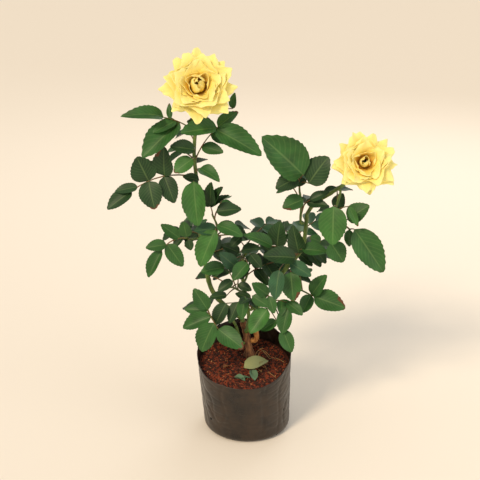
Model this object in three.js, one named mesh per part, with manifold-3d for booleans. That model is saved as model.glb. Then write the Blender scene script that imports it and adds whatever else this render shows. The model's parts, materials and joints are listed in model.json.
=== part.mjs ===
// A yellow rose bush in a black nursery bag, in millimetres, Z up.
// The origin is the centre of the bag's flat underside, and -Y is the side that faces the viewer.
import * as THREE from 'three';
import { mergeVertices } from 'three/addons/utils/BufferGeometryUtils.js';
import Module from 'manifold-3d';

const wasm = await Module();
wasm.setup();

const degrees = THREE.MathUtils.degToRad;

// The clearance between two pieces that touch on the real plant.
const GAP = 0.3;

// How far a joined solid's corners may move when its smallest faces are cleared away.
const JOIN_TOLERANCE = 0.6;

// The nursery bag: a soft black pot of thick film, filled with growing medium.
const BAG_BASE_RADIUS = 58.5;
const BAG_RIM_RADIUS = 64;
const BAG_RIM_HEIGHT = 106;
const BAG_RIM_TILT = 0.34;
const BAG_LEAN = -5;
const BAG_FOOT_ROUNDING = 9;
const BAG_FILM = 1.2;
const BAG_SEGMENTS = 32;
const BAG_FOLD_DEPTH = 0.9;
const BAG_FOLDS = 5;
const WALL_SHARES = [0.5, 1];
const LEVEL = 1e-6;

// The growing medium slopes down to the front and is level round the foot of the stem.
const SOIL_CLEARANCE = 0.5;
const SOIL_LEVEL = 92;
const SOIL_EDGE_LEVEL = 91;
const SOIL_TILT = 0.155;
const SOIL_PATCH = 0.17;
const SOIL_RINGS = [0.75, 0.5, 0.34, SOIL_PATCH, 0];
const SOIL_PATCH_INNER = 11;
const SOIL_PATCH_OUTER = 26;

// The woody stem, from its flat cut at soil level.
const FOOT = new THREE.Vector3(3, 20, SOIL_LEVEL + GAP);
const STEM_FLARE_HEIGHT = 14;
const STEM_FLARE = 0.55;

// Limbs and stems are tubes with a few sides, and a shoot's first stretch is straight.
const LIMB_SIDES = 6;
const TWIG_SIDES = 5;
const STATIONS_PER_SPAN = 2;
const FIRST_REACH = 5;
const SECTION_SIDE = new THREE.Vector3(1, 0.13, 0.07);

// The leaves: every leaf has a stalk and an end leaflet, and compound ones have side leaflets.
const LEAFLET_WIDTH = 0.57;
const OVAL_SKEW = 0.9;
const OVAL_FULLNESS = 0.9;
const LEAFLET_DROOP = 0.12;
const LEAFLET_FOLD = 0.22;
const LEAFLET_ROOT = 1.6;
const LEAFLET_STATIONS = [0.4, 0.76];
const SIDE_ANGLE = degrees(64);
const SIDE_SHRINK = 0.86;
const SIDE_SPREAD = 0.35;
const SIDE_DROOP = [0.12, 0.32];
const SIDE_LENGTH = [0.92, 1.08];
const END_STALKLET = 0.28;
const PAIR_SPACING = 0.42;
const STALK_RADIUS = 1.1;
const STALK_SIDES = 3;
const STALK_STATIONS = 2;
const STALK_STEP = 14;
const STALK_BOW = 0.06;
const LEAF_TILTS = [0, 9, -9, 18, -18];
const LEAF_TURNS = LEAF_TILTS.flatMap((tilt) => [0, 12, -12].map((turn) => [tilt, turn]));

// The room that leaves keep: a limb is claimed by spheres, and a stalk by beads.
const LOWEST_LEAF = 110;
const LEAF_CLEARANCE = 3;
const OWN_CLEARANCE = 1.5;
const ROOM_STEPS = 6;
const STALK_BEADS = 8;
const NEAR_SHARE = 0.6;
const UP = new THREE.Vector3(0, 0, 1);
const SUN_SIDE = new THREE.Vector3(-0.2, -0.75, 0.65).normalize();

// The rule for leaves that the front ones hide: they turn round the stem by the golden angle.
const GOLDEN_TURN = 0.618034;
const GROWN_STALK = 1.1;
const GROWN_LIFT = 0.3;
const GROWN_SHRINK = 0.85;
const SKYWARD = 0.6;
const OUTWARD = 0.25;
const GROWN_RISE = [-0.2, 0.4];
const GROWN_LENGTH = [0.85, 1.15];

// The blooms: a heart of rolled petals, and whorls of petals that open wider and wider.
const BLOOM_DEPTH = 17;
const RIM_SPHERES = 10;
const RIM_ROOM = 0.28;
const PETAL_THICKNESS = 1.1;
const PETAL_ROWS = 2;
const SCALLOP = [1, 0.1, -0.9, 0.1];
const SCALLOP_DEPTH = 0.13;
const SCALLOP_DIP = 3;
const NECK_RUN = 9;
const HIP_RADIUS = 5;
const HIP_LENGTH = 7;
const HIP_SIDES = 8;
const HEART_SIDES = 9;
const PETAL_FOOT = HIP_LENGTH - 2;
const PETAL_FOOT_RADIUS = 3;

// The hip and the heart, as (radius, height) up the bloom's axis.
const HIP_PROFILE = [[2.2, GAP], [HIP_RADIUS, 4.2], [HIP_RADIUS, HIP_LENGTH], [3, 11]];
const HEART_PROFILE = [[4, PETAL_FOOT], [11, 13], [11, 22], [4, 27]];
const SEPALS = 5;
const SEPAL_FOOT = [3.5, 4.9];
const SEPAL_TIP = [30, 2];
const SEPAL_WIDTH = 0.2;

// The seeded draws.
const DRAW_FACTOR = 1664525;
const DRAW_STEP = 1013904223;
const DRAW_RANGE = 2 ** 32;
const MOST_SEED = 1e6;

const materials = {
  film: new THREE.MeshStandardMaterial({ color: '#2b2520', roughness: 0.45, metalness: 0 }),
  soil: new THREE.MeshStandardMaterial({ color: '#5a2a1a', roughness: 0.95, metalness: 0 }),
  bark: new THREE.MeshStandardMaterial({ color: '#8a5a38', roughness: 0.85, metalness: 0 }),
  cane: new THREE.MeshStandardMaterial({ color: '#5d6e2a', roughness: 0.6, metalness: 0 }),
  leaf: new THREE.MeshStandardMaterial({ color: '#355c26', roughness: 0.55, metalness: 0 }),
  petal: new THREE.MeshStandardMaterial({ color: '#f6e08a', roughness: 0.7, metalness: 0 }),
};

const group = new THREE.Group();
group.name = 'rose_bush';

function addNode(name, geometry, material) {
  const mesh = new THREE.Mesh(geometry, material);
  mesh.name = name;
  group.add(mesh);
}

function vectors(rows) {
  return rows.map(([x, y, z]) => new THREE.Vector3(x, y, z));
}

// Seeded draws from 0 to 1, the same on every run.
function seededDraws(seed) {
  let state = seed;
  return () => {
    state = (Math.imul(state, DRAW_FACTOR) + DRAW_STEP) >>> 0;
    return state / DRAW_RANGE;
  };
}

function drawn([low, high], draw) {
  return low + (high - low) * draw();
}

function geometryFrom(points, triangles) {
  const geometry = new THREE.BufferGeometry();
  const numbers = points.flatMap((p) => [p.x, p.y, p.z]);
  geometry.setAttribute('position', new THREE.Float32BufferAttribute(numbers, 3));
  geometry.setIndex(triangles.flat());
  return geometry;
}

// Shares the vertices along seams and drops the faces that close up on the axis.
function welded(geometry) {
  geometry.deleteAttribute('normal');
  geometry.deleteAttribute('uv');
  const merged = mergeVertices(geometry, 1e-4);
  const corners = Array.from(merged.index.array);
  const kept = [];
  for (let i = 0; i < corners.length; i += 3) {
    const [a, b, c] = corners.slice(i, i + 3);
    if (a !== b && b !== c && c !== a) kept.push(a, b, c);
  }
  merged.setIndex(kept);
  return merged;
}

function solidFrom(geometry) {
  const vertProperties = new Float32Array(geometry.attributes.position.array);
  const triVerts = new Uint32Array(geometry.index.array);
  return new wasm.Manifold(new wasm.Mesh({ numProp: 3, vertProperties, triVerts }));
}

function joined(geometries) {
  const solids = geometries.map(solidFrom);
  return solids.reduce((whole, piece) => whole.add(piece)).simplify(JOIN_TOLERANCE);
}

// Keeps the largest shell of a joined solid, so that sealed hollows and scraps are gone.
function mainShell(solid) {
  const mesh = solid.getMesh();
  const parent = Array.from({ length: mesh.vertProperties.length / 3 }, (_, i) => i);
  const rootOf = (i) => {
    let root = i;
    while (parent[root] !== root) root = parent[root];
    while (parent[i] !== root) [parent[i], i] = [root, parent[i]];
    return root;
  };
  const corner = (i) => new THREE.Vector3().fromArray(mesh.vertProperties, i * 3);
  const triangles = [];
  for (let i = 0; i < mesh.triVerts.length; i += 3) {
    const triangle = Array.from(mesh.triVerts.slice(i, i + 3));
    triangles.push(triangle);
    parent[rootOf(triangle[1])] = rootOf(triangle[0]);
    parent[rootOf(triangle[2])] = rootOf(triangle[0]);
  }
  const volumes = new Map();
  for (const triangle of triangles) {
    const [a, b, c] = triangle.map(corner);
    const root = rootOf(triangle[0]);
    volumes.set(root, (volumes.get(root) ?? 0) + a.dot(b.clone().cross(c)) / 6);
  }
  const [largest] = [...volumes.entries()].sort((a, b) => b[1] - a[1])[0];
  const used = new Map();
  const points = [];
  const kept = triangles.filter((triangle) => rootOf(triangle[0]) === largest).map((triangle) =>
    triangle.map((i) => {
      if (!used.has(i)) used.set(i, points.push(corner(i)) - 1);
      return used.get(i);
    }));
  return geometryFrom(points, kept);
}

// A tapering tube round a curve, with flat ends square to it.
function taperedTube(pointAt, tangentAt, radii, sides) {
  const points = [];
  const triangles = [];
  const last = (radii.length - 1) * sides;
  let side = SECTION_SIDE;
  radii.forEach((radius, ring) => {
    const t = ring / (radii.length - 1);
    const centre = pointAt(t);
    const axis = tangentAt(t);
    side = side.clone().addScaledVector(axis, -side.dot(axis)).normalize();
    const other = axis.clone().cross(side);
    for (let i = 0; i < sides; i += 1) {
      const turn = (2 * Math.PI * i) / sides;
      points.push(centre.clone()
        .addScaledVector(side, radius * Math.cos(turn))
        .addScaledVector(other, radius * Math.sin(turn)));
    }
  });
  for (let ring = 0; ring < radii.length - 1; ring += 1) {
    for (let i = 0; i < sides; i += 1) {
      const a = ring * sides + i;
      const b = ring * sides + ((i + 1) % sides);
      triangles.push([a, b, b + sides], [a, b + sides, a + sides]);
    }
  }
  for (let i = 1; i < sides - 1; i += 1) {
    triangles.push([0, i + 1, i], [last, last + i, last + i + 1]);
  }
  return geometryFrom(points, triangles);
}

// A curve of the plant: its path and how thick it is from foot to tip.
function growth(points, footRadius, tipRadius) {
  const path = new THREE.CatmullRomCurve3(points, false, 'catmullrom', 0.5);
  return {
    pointAt: (share) => path.getPointAt(share),
    tangentAt: (share) => path.getTangentAt(share),
    radiusAt: (t) => footRadius + (tipRadius - footRadius) * t,
    spans: points.length - 1,
  };
}

function tubeOf(limb, sides, flare = 0) {
  const stations = limb.spans * STATIONS_PER_SPAN;
  const radii = [];
  for (let i = 0; i <= stations; i += 1) {
    const height = limb.pointAt(i / stations).distanceTo(limb.pointAt(0));
    const swell = 1 + flare * Math.max(0, 1 - height / STEM_FLARE_HEIGHT) ** 2;
    radii.push(limb.radiusAt(i / stations) * swell);
  }
  return taperedTube(limb.pointAt, limb.tangentAt, radii, sides);
}

// The first points of a shoot that leaves the side of a limb, square to it and just clear of it.
function fromSide(limb, t, toward) {
  const start = limb.pointAt(t);
  const axis = limb.tangentAt(t);
  const out = new THREE.Vector3(...toward);
  out.addScaledVector(axis, -out.dot(axis)).normalize();
  const reach = limb.radiusAt(t) + GAP;
  return [start.clone().addScaledVector(out, reach), start.clone().addScaledVector(out, reach + FIRST_REACH)];
}

// The first points of a shoot that carries on from a limb's tip, just clear of it.
function fromTip(limb) {
  const tip = limb.pointAt(1);
  const axis = limb.tangentAt(1);
  return [tip.clone().addScaledVector(axis, GAP), tip.clone().addScaledVector(axis, FIRST_REACH)];
}

// What already takes up room: spheres along limbs and stalks, and the flat plates of leaflets.
const room = { spheres: [], plates: [] };

function claimLimb(limb, owner) {
  const steps = limb.spans * ROOM_STEPS;
  for (let i = 0; i <= steps; i += 1) {
    const t = i / steps;
    room.spheres.push({ owner, centre: limb.pointAt(t), radius: limb.radiusAt(t) });
  }
}

function halfWidthAt(plate, t) {
  const within = THREE.MathUtils.clamp(t, 0, 1);
  return 0.5 * plate.width * Math.sin(Math.PI * within ** OVAL_SKEW) ** OVAL_FULLNESS;
}

function platePoint(plate, t, u) {
  const half = halfWidthAt(plate, t);
  return plate.base.clone()
    .addScaledVector(plate.along, plate.length * t)
    .addScaledVector(plate.across, half * u)
    .addScaledVector(plate.facing, LEAFLET_FOLD * half * Math.abs(u) - plate.droop * plate.length * t * t);
}

const PLATE_SAMPLES = [
  [0.15, 0], [0.4, 0], [0.65, 0], [0.85, 0], [1, 0],
  [0.25, 1], [0.5, 1], [0.75, 1], [0.25, -1], [0.5, -1], [0.75, -1],
];

function sphereHitsPlate(centre, reach, plate) {
  const offset = centre.clone().sub(plate.base);
  const along = offset.dot(plate.along);
  if (along < -reach || along > plate.length + reach) return false;
  const t = THREE.MathUtils.clamp(along / plate.length, 0, 1);
  const above = offset.dot(plate.facing) + plate.droop * plate.length * t * t;
  const across = Math.abs(offset.dot(plate.across));
  return Math.abs(above) < reach && across < halfWidthAt(plate, t) + reach;
}

// Whether two leaflets come closer than they may, tested with points of each against the other.
function platesCross(plate, other, clearance) {
  const apart = plate.middle.distanceTo(other.middle);
  if (apart > NEAR_SHARE * (plate.length + other.length) + clearance) return false;
  return plate.samples.some((point) => sphereHitsPlate(point, clearance, other))
    || other.samples.some((point) => sphereHitsPlate(point, clearance, plate));
}

function plateIsBarred(plate, spheres, plates) {
  if (plate.samples.some((point) => point.z < LOWEST_LEAF)) return true;
  return spheres.some(({ centre, radius }) => sphereHitsPlate(centre, radius + LEAF_CLEARANCE, plate)
      || plate.samples.some((point) => point.distanceTo(centre) < radius + LEAF_CLEARANCE))
    || plates.some((other) => platesCross(plate, other, LEAF_CLEARANCE));
}

function stalkIsBarred(stalk, spheres, plates) {
  return stalk.some(({ centre, radius }) =>
    spheres.some((other) => other.centre.distanceTo(centre) < radius + other.radius + LEAF_CLEARANCE)
    || plates.some((plate) => sphereHitsPlate(centre, radius + LEAF_CLEARANCE, plate)));
}

// A leaflet's plate: where its blade lies and which way its upper side looks.
function leafletPlate(foot, tip, look, width = LEAFLET_WIDTH, droop = LEAFLET_DROOP) {
  const length = tip.distanceTo(foot);
  const along = tip.clone().sub(foot).normalize();
  const facing = look.clone().addScaledVector(along, -look.dot(along)).normalize();
  const across = along.clone().cross(facing);
  const plate = { base: foot, along, across, facing, length, width: length * width, droop };
  plate.samples = PLATE_SAMPLES.map(([t, u]) => platePoint(plate, t, u));
  plate.middle = platePoint(plate, 0.5, 0);
  return plate;
}

// One leaf from its place on the stem: a bowed stalk, the end leaflet from its foot to its tip,
// and the side leaflets, each from its share of the stalk to its own tip.
function leafFrom(base, { foot, tip, width, droop, roll = 0, arch = 0, sides = [] }, look) {
  const run = foot.clone().sub(base);
  const lift = UP.clone().addScaledVector(run, -UP.dot(run) / run.lengthSq()).normalize();
  const bow = 2 * (arch + STALK_BOW * run.length());
  const bend = base.clone().lerp(foot, 0.5).addScaledVector(lift, bow);
  const stalk = new THREE.QuadraticBezierCurve3(base, bend, foot);
  const endLook = look.clone().applyAxisAngle(tip.clone().sub(foot).normalize(), degrees(roll));
  const plates = [leafletPlate(foot, tip, endLook, width, droop)];
  for (const [share, sideTip, sideWidth] of sides) {
    plates.push(leafletPlate(stalk.getPoint(share), sideTip, look, sideWidth));
  }
  return { stalk, plates };
}

// Pairs of side leaflets by rule, smaller and smaller down the stalk.
function addPairs({ stalk, plates }, pairs, look, draw) {
  const run = stalk.v0.distanceTo(stalk.v2);
  const size = plates[0].length;
  for (let pair = 0; pair < pairs; pair += 1) {
    const back = size * (END_STALKLET + PAIR_SPACING * pair);
    if (back >= run - STALK_RADIUS) break;
    const foot = stalk.getPoint(1 - back / run);
    const forward = stalk.getTangent(1 - back / run);
    const facing = look.clone().addScaledVector(forward, -look.dot(forward)).normalize();
    const across = forward.clone().cross(facing);
    for (const hand of [1, -1]) {
      const angle = SIDE_ANGLE + (draw() - 0.5) * SIDE_SPREAD;
      const droop = drawn(SIDE_DROOP, draw);
      const length = size * GROWN_SHRINK * SIDE_SHRINK ** pair * drawn(SIDE_LENGTH, draw);
      const along = forward.clone().multiplyScalar(Math.cos(angle))
        .addScaledVector(across, hand * Math.sin(angle))
        .addScaledVector(facing, -droop)
        .normalize();
      plates.push(leafletPlate(foot, foot.clone().addScaledVector(along, length), look));
    }
  }
}

function stalkSpheres(stalk, owner) {
  const spheres = [];
  for (let i = 2; i <= STALK_BEADS; i += 1) {
    spheres.push({ owner, centre: stalk.getPoint(i / STALK_BEADS), radius: STALK_RADIUS });
  }
  return spheres;
}

// A leaflet as a thin closed blade with a keel below: a pointed root sunk in the stalk, two
// stations of three points and a tip.
function leafletGeometry(plate) {
  const root = plate.base.clone().addScaledVector(plate.along, -LEAFLET_ROOT);
  const points = [root];
  for (const t of LEAFLET_STATIONS) {
    points.push(platePoint(plate, t, 1), platePoint(plate, t, 0), platePoint(plate, t, -1));
  }
  points.push(platePoint(plate, 1, 0));
  const triangles = [];
  for (let i = 0; i < 3; i += 1) {
    const [a, b] = [1 + i, 1 + ((i + 1) % 3)];
    triangles.push([0, b, a], [a, b, b + 3], [a, b + 3, a + 3], [a + 3, b + 3, 7]);
  }
  return geometryFrom(points, triangles);
}

function stalkGeometry(stalk) {
  const stations = Math.max(STALK_STATIONS, Math.round(stalk.getLength() / STALK_STEP));
  const radii = Array(stations + 1).fill(STALK_RADIUS);
  return taperedTube((t) => stalk.getPoint(t), (t) => stalk.getTangent(t), radii, STALK_SIDES);
}

// Puts a leaf where it has most room, turning it a little if it must, and leaves out the
// leaflets that would touch a limb or enter another mass's space.
function placeLeaf(mass, base, leaf, look, keepCrossing) {
  const hinge = leaf.tip.clone().sub(base).cross(UP).normalize();
  const seed = Math.floor(mass.draw() * MOST_SEED);
  const spheres = room.spheres.filter((sphere) => sphere.owner !== mass.name);
  const foreign = room.plates.filter((plate) => plate.owner !== mass.name);
  const own = room.plates.filter((plate) => plate.owner === mass.name);
  let best = null;
  for (const [tilt, turn] of LEAF_TURNS) {
    const aim = (point) => point.clone().sub(base)
      .applyAxisAngle(hinge, degrees(tilt)).applyAxisAngle(UP, degrees(turn)).add(base);
    const sides = (leaf.sides ?? []).map(([share, tip, width]) => [share, aim(tip), width]);
    const aimed = leafFrom(base, { ...leaf, foot: aim(leaf.foot), tip: aim(leaf.tip), sides }, look);
    addPairs(aimed, leaf.pairs ?? 0, look, seededDraws(seed));
    const stalk = stalkSpheres(aimed.stalk, mass.name);
    if (stalkIsBarred(stalk, spheres, foreign)) continue;
    const free = aimed.plates.filter((plate) => !plateIsBarred(plate, spheres, foreign));
    const crossing = free.filter((plate) => own.some((other) => platesCross(plate, other, OWN_CLEARANCE)));
    const kept = keepCrossing ? free : free.filter((plate) => !crossing.includes(plate));
    const faults = 3 * (aimed.plates.length - kept.length) + crossing.length;
    if (kept.length > 0 && (!best || faults < best.faults)) best = { aimed, stalk, kept, faults };
    if (faults === 0) break;
  }
  if (!best) return;
  room.spheres.push(...best.stalk);
  for (const plate of best.kept) {
    plate.owner = mass.name;
    room.plates.push(plate);
  }
  mass.pieces.push(stalkGeometry(best.aimed.stalk), ...best.kept.map(leafletGeometry));
}

function addLeaves(mass, leaves) {
  for (const leaf of leaves) {
    const [foot, tip] = vectors([leaf.foot, leaf.tip]);
    const sides = (leaf.sides ?? []).map(([share, end, width]) => [share, new THREE.Vector3(...end), width]);
    placeLeaf(mass, mass.stem.pointAt(leaf.at), { ...leaf, foot, tip, sides }, SUN_SIDE, true);
  }
}

// Leaves by rule: evenly up the stem, turning by the golden angle within their sector.
function growLeaves(mass, { leaves, from, to, middle, spread, size, pairs }) {
  for (let i = 0; i < leaves; i += 1) {
    const at = from + ((to - from) * i) / Math.max(leaves - 1, 1);
    const base = mass.stem.pointAt(at);
    const bearing = degrees(middle + spread * (((i * GOLDEN_TURN) % 1) - 0.5));
    const rise = drawn(GROWN_RISE, mass.draw);
    const length = size * drawn(GROWN_LENGTH, mass.draw);
    const outward = new THREE.Vector3(Math.cos(bearing), Math.sin(bearing), 0);
    const heading = outward.clone().multiplyScalar(Math.cos(rise)).addScaledVector(UP, Math.sin(rise));
    const foot = base.clone()
      .addScaledVector(heading, length * GROWN_STALK)
      .addScaledVector(UP, length * GROWN_LIFT);
    const tip = base.clone().addScaledVector(heading, length * (GROWN_STALK + 1));
    const look = SUN_SIDE.clone().addScaledVector(UP, SKYWARD).addScaledVector(outward, OUTWARD).normalize();
    placeLeaf(mass, base, { foot, tip, pairs }, look, false);
  }
}

// The bag's wall leans a little and its rim is cut lower in front than behind.
function bagPlace(point) {
  const share = point.z / BAG_RIM_HEIGHT;
  const angle = Math.atan2(point.y, point.x);
  const radius = Math.hypot(point.x, point.y);
  const fold = BAG_FOLD_DEPTH * share * Math.sin(BAG_FOLDS * angle + 1);
  const swell = radius > 1 ? (radius + fold * (radius / BAG_RIM_RADIUS)) / radius : 1;
  return new THREE.Vector3(
    point.x * swell + BAG_LEAN * share,
    point.y * swell,
    point.z + BAG_RIM_TILT * point.y * share * share,
  );
}

function wallRadius(height, inset) {
  return BAG_BASE_RADIUS + (BAG_RIM_RADIUS - BAG_BASE_RADIUS) * (height / BAG_RIM_HEIGHT) - inset;
}

// The rounded foot of the bag, as (radius, height) from the flat underside up to the wall.
function footProfile(inset, shares) {
  const rounding = BAG_FOOT_ROUNDING - inset;
  const middle = wallRadius(BAG_FOOT_ROUNDING, inset) - rounding;
  return shares.map((share) => {
    const turn = (share * Math.PI) / 2;
    return new THREE.Vector2(
      middle + rounding * Math.sin(turn),
      BAG_FOOT_ROUNDING - rounding * Math.cos(turn),
    );
  });
}

function turnedSolid(profile, place) {
  const geometry = welded(new THREE.LatheGeometry(profile, BAG_SEGMENTS).rotateX(Math.PI / 2));
  const position = geometry.attributes.position;
  for (let i = 0; i < position.count; i += 1) {
    const placed = place(new THREE.Vector3().fromBufferAttribute(position, i));
    position.setXYZ(i, placed.x, placed.y, placed.z);
  }
  return geometry;
}

function bagGeometry() {
  const heights = WALL_SHARES.map((share) => share * BAG_RIM_HEIGHT);
  const outside = heights.map((height) => new THREE.Vector2(wallRadius(height, 0), height));
  const inside = heights.map((height) => new THREE.Vector2(wallRadius(height, BAG_FILM), height)).reverse();
  const profile = [
    new THREE.Vector2(0, 0), ...footProfile(0, [0, 0.5, 1]), ...outside,
    ...inside, ...footProfile(BAG_FILM, [0, 1]).reverse(), new THREE.Vector2(0, BAG_FILM),
  ];
  return turnedSolid(profile, bagPlace);
}

// The height that the bag's wall line starts from, so that the leaning wall passes through z.
function wallHeight(y, z) {
  const lean = (BAG_RIM_TILT * y) / BAG_RIM_HEIGHT ** 2;
  return Math.abs(lean) < LEVEL ? z : (Math.sqrt(1 + 4 * lean * z) - 1) / (2 * lean);
}

function soilTop(x, y) {
  const slope = SOIL_EDGE_LEVEL + SOIL_TILT * y;
  const away = Math.hypot(x - FOOT.x, y - FOOT.y);
  const blend = THREE.MathUtils.smoothstep(away, SOIL_PATCH_INNER, SOIL_PATCH_OUTER);
  return THREE.MathUtils.lerp(SOIL_LEVEL, slope, blend);
}

function soilGeometry() {
  const inset = BAG_FILM + SOIL_CLEARANCE;
  const edgeRadius = wallRadius(SOIL_EDGE_LEVEL, inset);
  const side = WALL_SHARES.map((share) => new THREE.Vector2(
    wallRadius(share * SOIL_EDGE_LEVEL, inset),
    share * SOIL_EDGE_LEVEL,
  ));
  const top = SOIL_RINGS.map((share) => new THREE.Vector2(edgeRadius * share, SOIL_EDGE_LEVEL + 1));
  const foot = footProfile(inset, [0, 1]);
  return turnedSolid([new THREE.Vector2(0, foot[0].y), ...foot, ...side, ...top], (point) => {
    if (point.z > SOIL_EDGE_LEVEL) {
      const inward = Math.min(1, (1 - Math.hypot(point.x, point.y) / edgeRadius) / (1 - SOIL_PATCH));
      const x = point.x + FOOT.x * inward;
      const y = point.y + FOOT.y * inward;
      return new THREE.Vector3(x, y, soilTop(x, y));
    }
    if (point.z <= BAG_FOOT_ROUNDING) return bagPlace(point);
    const level = wallHeight(point.y, soilTop(point.x, point.y) * (point.z / SOIL_EDGE_LEVEL));
    const fit = wallRadius(level, inset) / wallRadius(point.z, inset);
    return bagPlace(new THREE.Vector3(point.x * fit, point.y * fit, level));
  });
}

// A bloom's own frame: its axis, and two directions across it.
function bloomFrame(neck, axis) {
  const across = UP.clone().cross(axis).normalize();
  const upward = axis.clone().cross(across);
  return (radius, angle, height) => neck.clone()
    .addScaledVector(axis, height)
    .addScaledVector(across, radius * Math.cos(angle))
    .addScaledVector(upward, radius * Math.sin(angle));
}

// One whorl of petals as a scalloped bowl: its wall opens from one angle to another, and each
// petal has a pointed tip between two notches.
function whorlGeometry(frame, { petals, length, openAtFoot, openAtTip, turn }) {
  const sides = petals * SCALLOP.length;
  const points = [];
  for (const layer of [0, PETAL_THICKNESS]) {
    let radius = PETAL_FOOT_RADIUS;
    let height = 0;
    for (let row = 0; row <= PETAL_ROWS; row += 1) {
      const share = row / PETAL_ROWS;
      for (let i = 0; i < sides; i += 1) {
        const reach = 1 + SCALLOP_DEPTH * SCALLOP[i % SCALLOP.length] * share;
        const dip = SCALLOP_DIP * SCALLOP[i % SCALLOP.length] * share;
        points.push(frame(radius * reach, turn + (2 * Math.PI * i) / sides, height - dip + layer));
      }
      const open = openAtFoot + (openAtTip - openAtFoot) * share;
      radius += (length / PETAL_ROWS) * Math.sin(open);
      height += (length / PETAL_ROWS) * Math.cos(open);
    }
  }
  const layerSize = (PETAL_ROWS + 1) * sides;
  const rim = PETAL_ROWS * sides;
  const triangles = [];
  const quad = (a, b, c, d) => triangles.push([a, b, c], [a, c, d]);
  for (let i = 0; i < sides; i += 1) {
    const next = (i + 1) % sides;
    for (let ring = 0; ring < rim; ring += sides) {
      const [a, b] = [ring + i, ring + next];
      quad(a, b, b + sides, a + sides);
      quad(layerSize + b, layerSize + a, layerSize + a + sides, layerSize + b + sides);
    }
    quad(next, i, layerSize + i, layerSize + next);
    quad(rim + i, rim + next, layerSize + rim + next, layerSize + rim + i);
  }
  return geometryFrom(points, triangles);
}

function roundPiece(frame, profile, sides) {
  const points = profile.flatMap(([radius, height]) =>
    Array.from({ length: sides }, (_, i) => frame(radius, (2 * Math.PI * i) / sides, height)));
  const triangles = [];
  for (let ring = 0; ring < profile.length - 1; ring += 1) {
    for (let i = 0; i < sides; i += 1) {
      const a = ring * sides + i;
      const b = ring * sides + ((i + 1) % sides);
      triangles.push([a, b, b + sides], [a, b + sides, a + sides]);
    }
  }
  const last = (profile.length - 1) * sides;
  for (let i = 1; i < sides - 1; i += 1) {
    triangles.push([0, i + 1, i], [last, last + i, last + i + 1]);
  }
  return geometryFrom(points, triangles);
}

function bloomGeometry({ neck, axis, whorls, radius }) {
  const frame = bloomFrame(neck, axis);
  const pieces = [roundPiece(frame, HIP_PROFILE, HIP_SIDES), roundPiece(frame, HEART_PROFILE, HEART_SIDES)];
  const petalFrame = (r, angle, height) => frame(r, angle, height + PETAL_FOOT);
  for (const whorl of whorls) {
    pieces.push(whorlGeometry(petalFrame, { ...whorl, length: whorl.length * radius }));
  }
  for (let i = 0; i < SEPALS; i += 1) {
    const turn = (2 * Math.PI * i) / SEPALS;
    const foot = frame(SEPAL_FOOT[0], turn, SEPAL_FOOT[1]);
    const tip = frame(SEPAL_TIP[0], turn, SEPAL_TIP[1]);
    pieces.push(leafletGeometry(leafletPlate(foot, tip, axis, SEPAL_WIDTH)));
  }
  return mainShell(joined(pieces));
}

function claimBloom({ neck, axis, radius }, name) {
  const frame = bloomFrame(neck, axis);
  for (let i = 0; i < RIM_SPHERES; i += 1) {
    const centre = frame(radius * (1 - RIM_ROOM), (2 * Math.PI * i) / RIM_SPHERES, BLOOM_DEPTH);
    room.spheres.push({ owner: name, centre, radius: radius * RIM_ROOM });
  }
  room.spheres.push({ owner: name, centre: frame(0, 0, BLOOM_DEPTH), radius: radius / 2 });
}

const WHORLS = [
  { petals: 6, length: 0.87, openAtFoot: degrees(64), openAtTip: degrees(92), turn: 0.3 },
  { petals: 5, length: 0.74, openAtFoot: degrees(40), openAtTip: degrees(72), turn: 0.9 },
  { petals: 4, length: 0.54, openAtFoot: degrees(22), openAtTip: degrees(48), turn: 0 },
];

function bloomAt(centre, axisRow, radius) {
  const axis = new THREE.Vector3(...axisRow).normalize();
  const neck = new THREE.Vector3(...centre).addScaledVector(axis, -BLOOM_DEPTH);
  return { neck, axis, radius, whorls: WHORLS };
}

const blooms = {
  left_rose: bloomAt([-59, -30, 477], [0.03, -0.9, 0.43], 45),
  right_rose: bloomAt([145, -30, 382], [0.12, -0.88, 0.46], 40.5),
};

// The last points of a stem that carries a bloom: it comes up behind and along the bloom's axis.
function toNeck({ neck, axis }) {
  return [neck.clone().addScaledVector(axis, -NECK_RUN), neck.clone()];
}

// The limbs: the woody stem, its sawn stub, the canes and the green shoots.
const limbs = {};
limbs.woody_stem = growth([
  FOOT, ...vectors([[3, 20, 97], [1, 21, 110], [-1, 23, 124], [-6, 24, 141]]),
], 5.6, 4.4);
limbs.sawn_stub = growth([
  ...fromSide(limbs.woody_stem, 0.44, [1, -0.3, 0]), ...vectors([[13, 18, 121], [11, 17, 134]]),
], 3.4, 3.6);
limbs.left_cane = growth([
  ...fromTip(limbs.woody_stem),
  ...vectors([
    [-20, 21, 158], [-34, 18, 172], [-45, 14, 188], [-52, 8, 211], [-58, 0, 255],
    [-64, -8, 306], [-64, -10, 327],
  ]),
], 3.4, 2.6);
limbs.right_cane = growth([
  ...fromSide(limbs.woody_stem, 0.9, [0.9, 0.5, 0]),
  ...vectors([[20, 30, 171], [51, 28, 216], [70, 22, 244], [75, 18, 262], [77, 10, 297]]),
], 3.2, 2.6);
limbs.centre_cane = growth([
  ...fromSide(limbs.woody_stem, 0.78, [0.2, -0.9, 0]),
  ...vectors([[2, 14, 150], [0, 20, 172], [-6, 26, 201], [-6, 26, 228]]),
], 2.6, 2.2);
limbs.green_shoot = growth([
  ...fromSide(limbs.woody_stem, 0.42, [-0.8, -0.5, 0]), ...vectors([[-15, 10, 141], [-26, 2, 163]]),
], 2.2, 1.8);
limbs.right_flower_stem = growth([
  ...fromTip(limbs.right_cane),
  ...vectors([[87, 6, 319], [95, 2, 325], [106, -4, 334], [129, -8, 353]]), ...toNeck(blooms.right_rose),
], 2.5, 2.2);

const OLD_WOOD = ['woody_stem', 'sawn_stub'];

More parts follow.
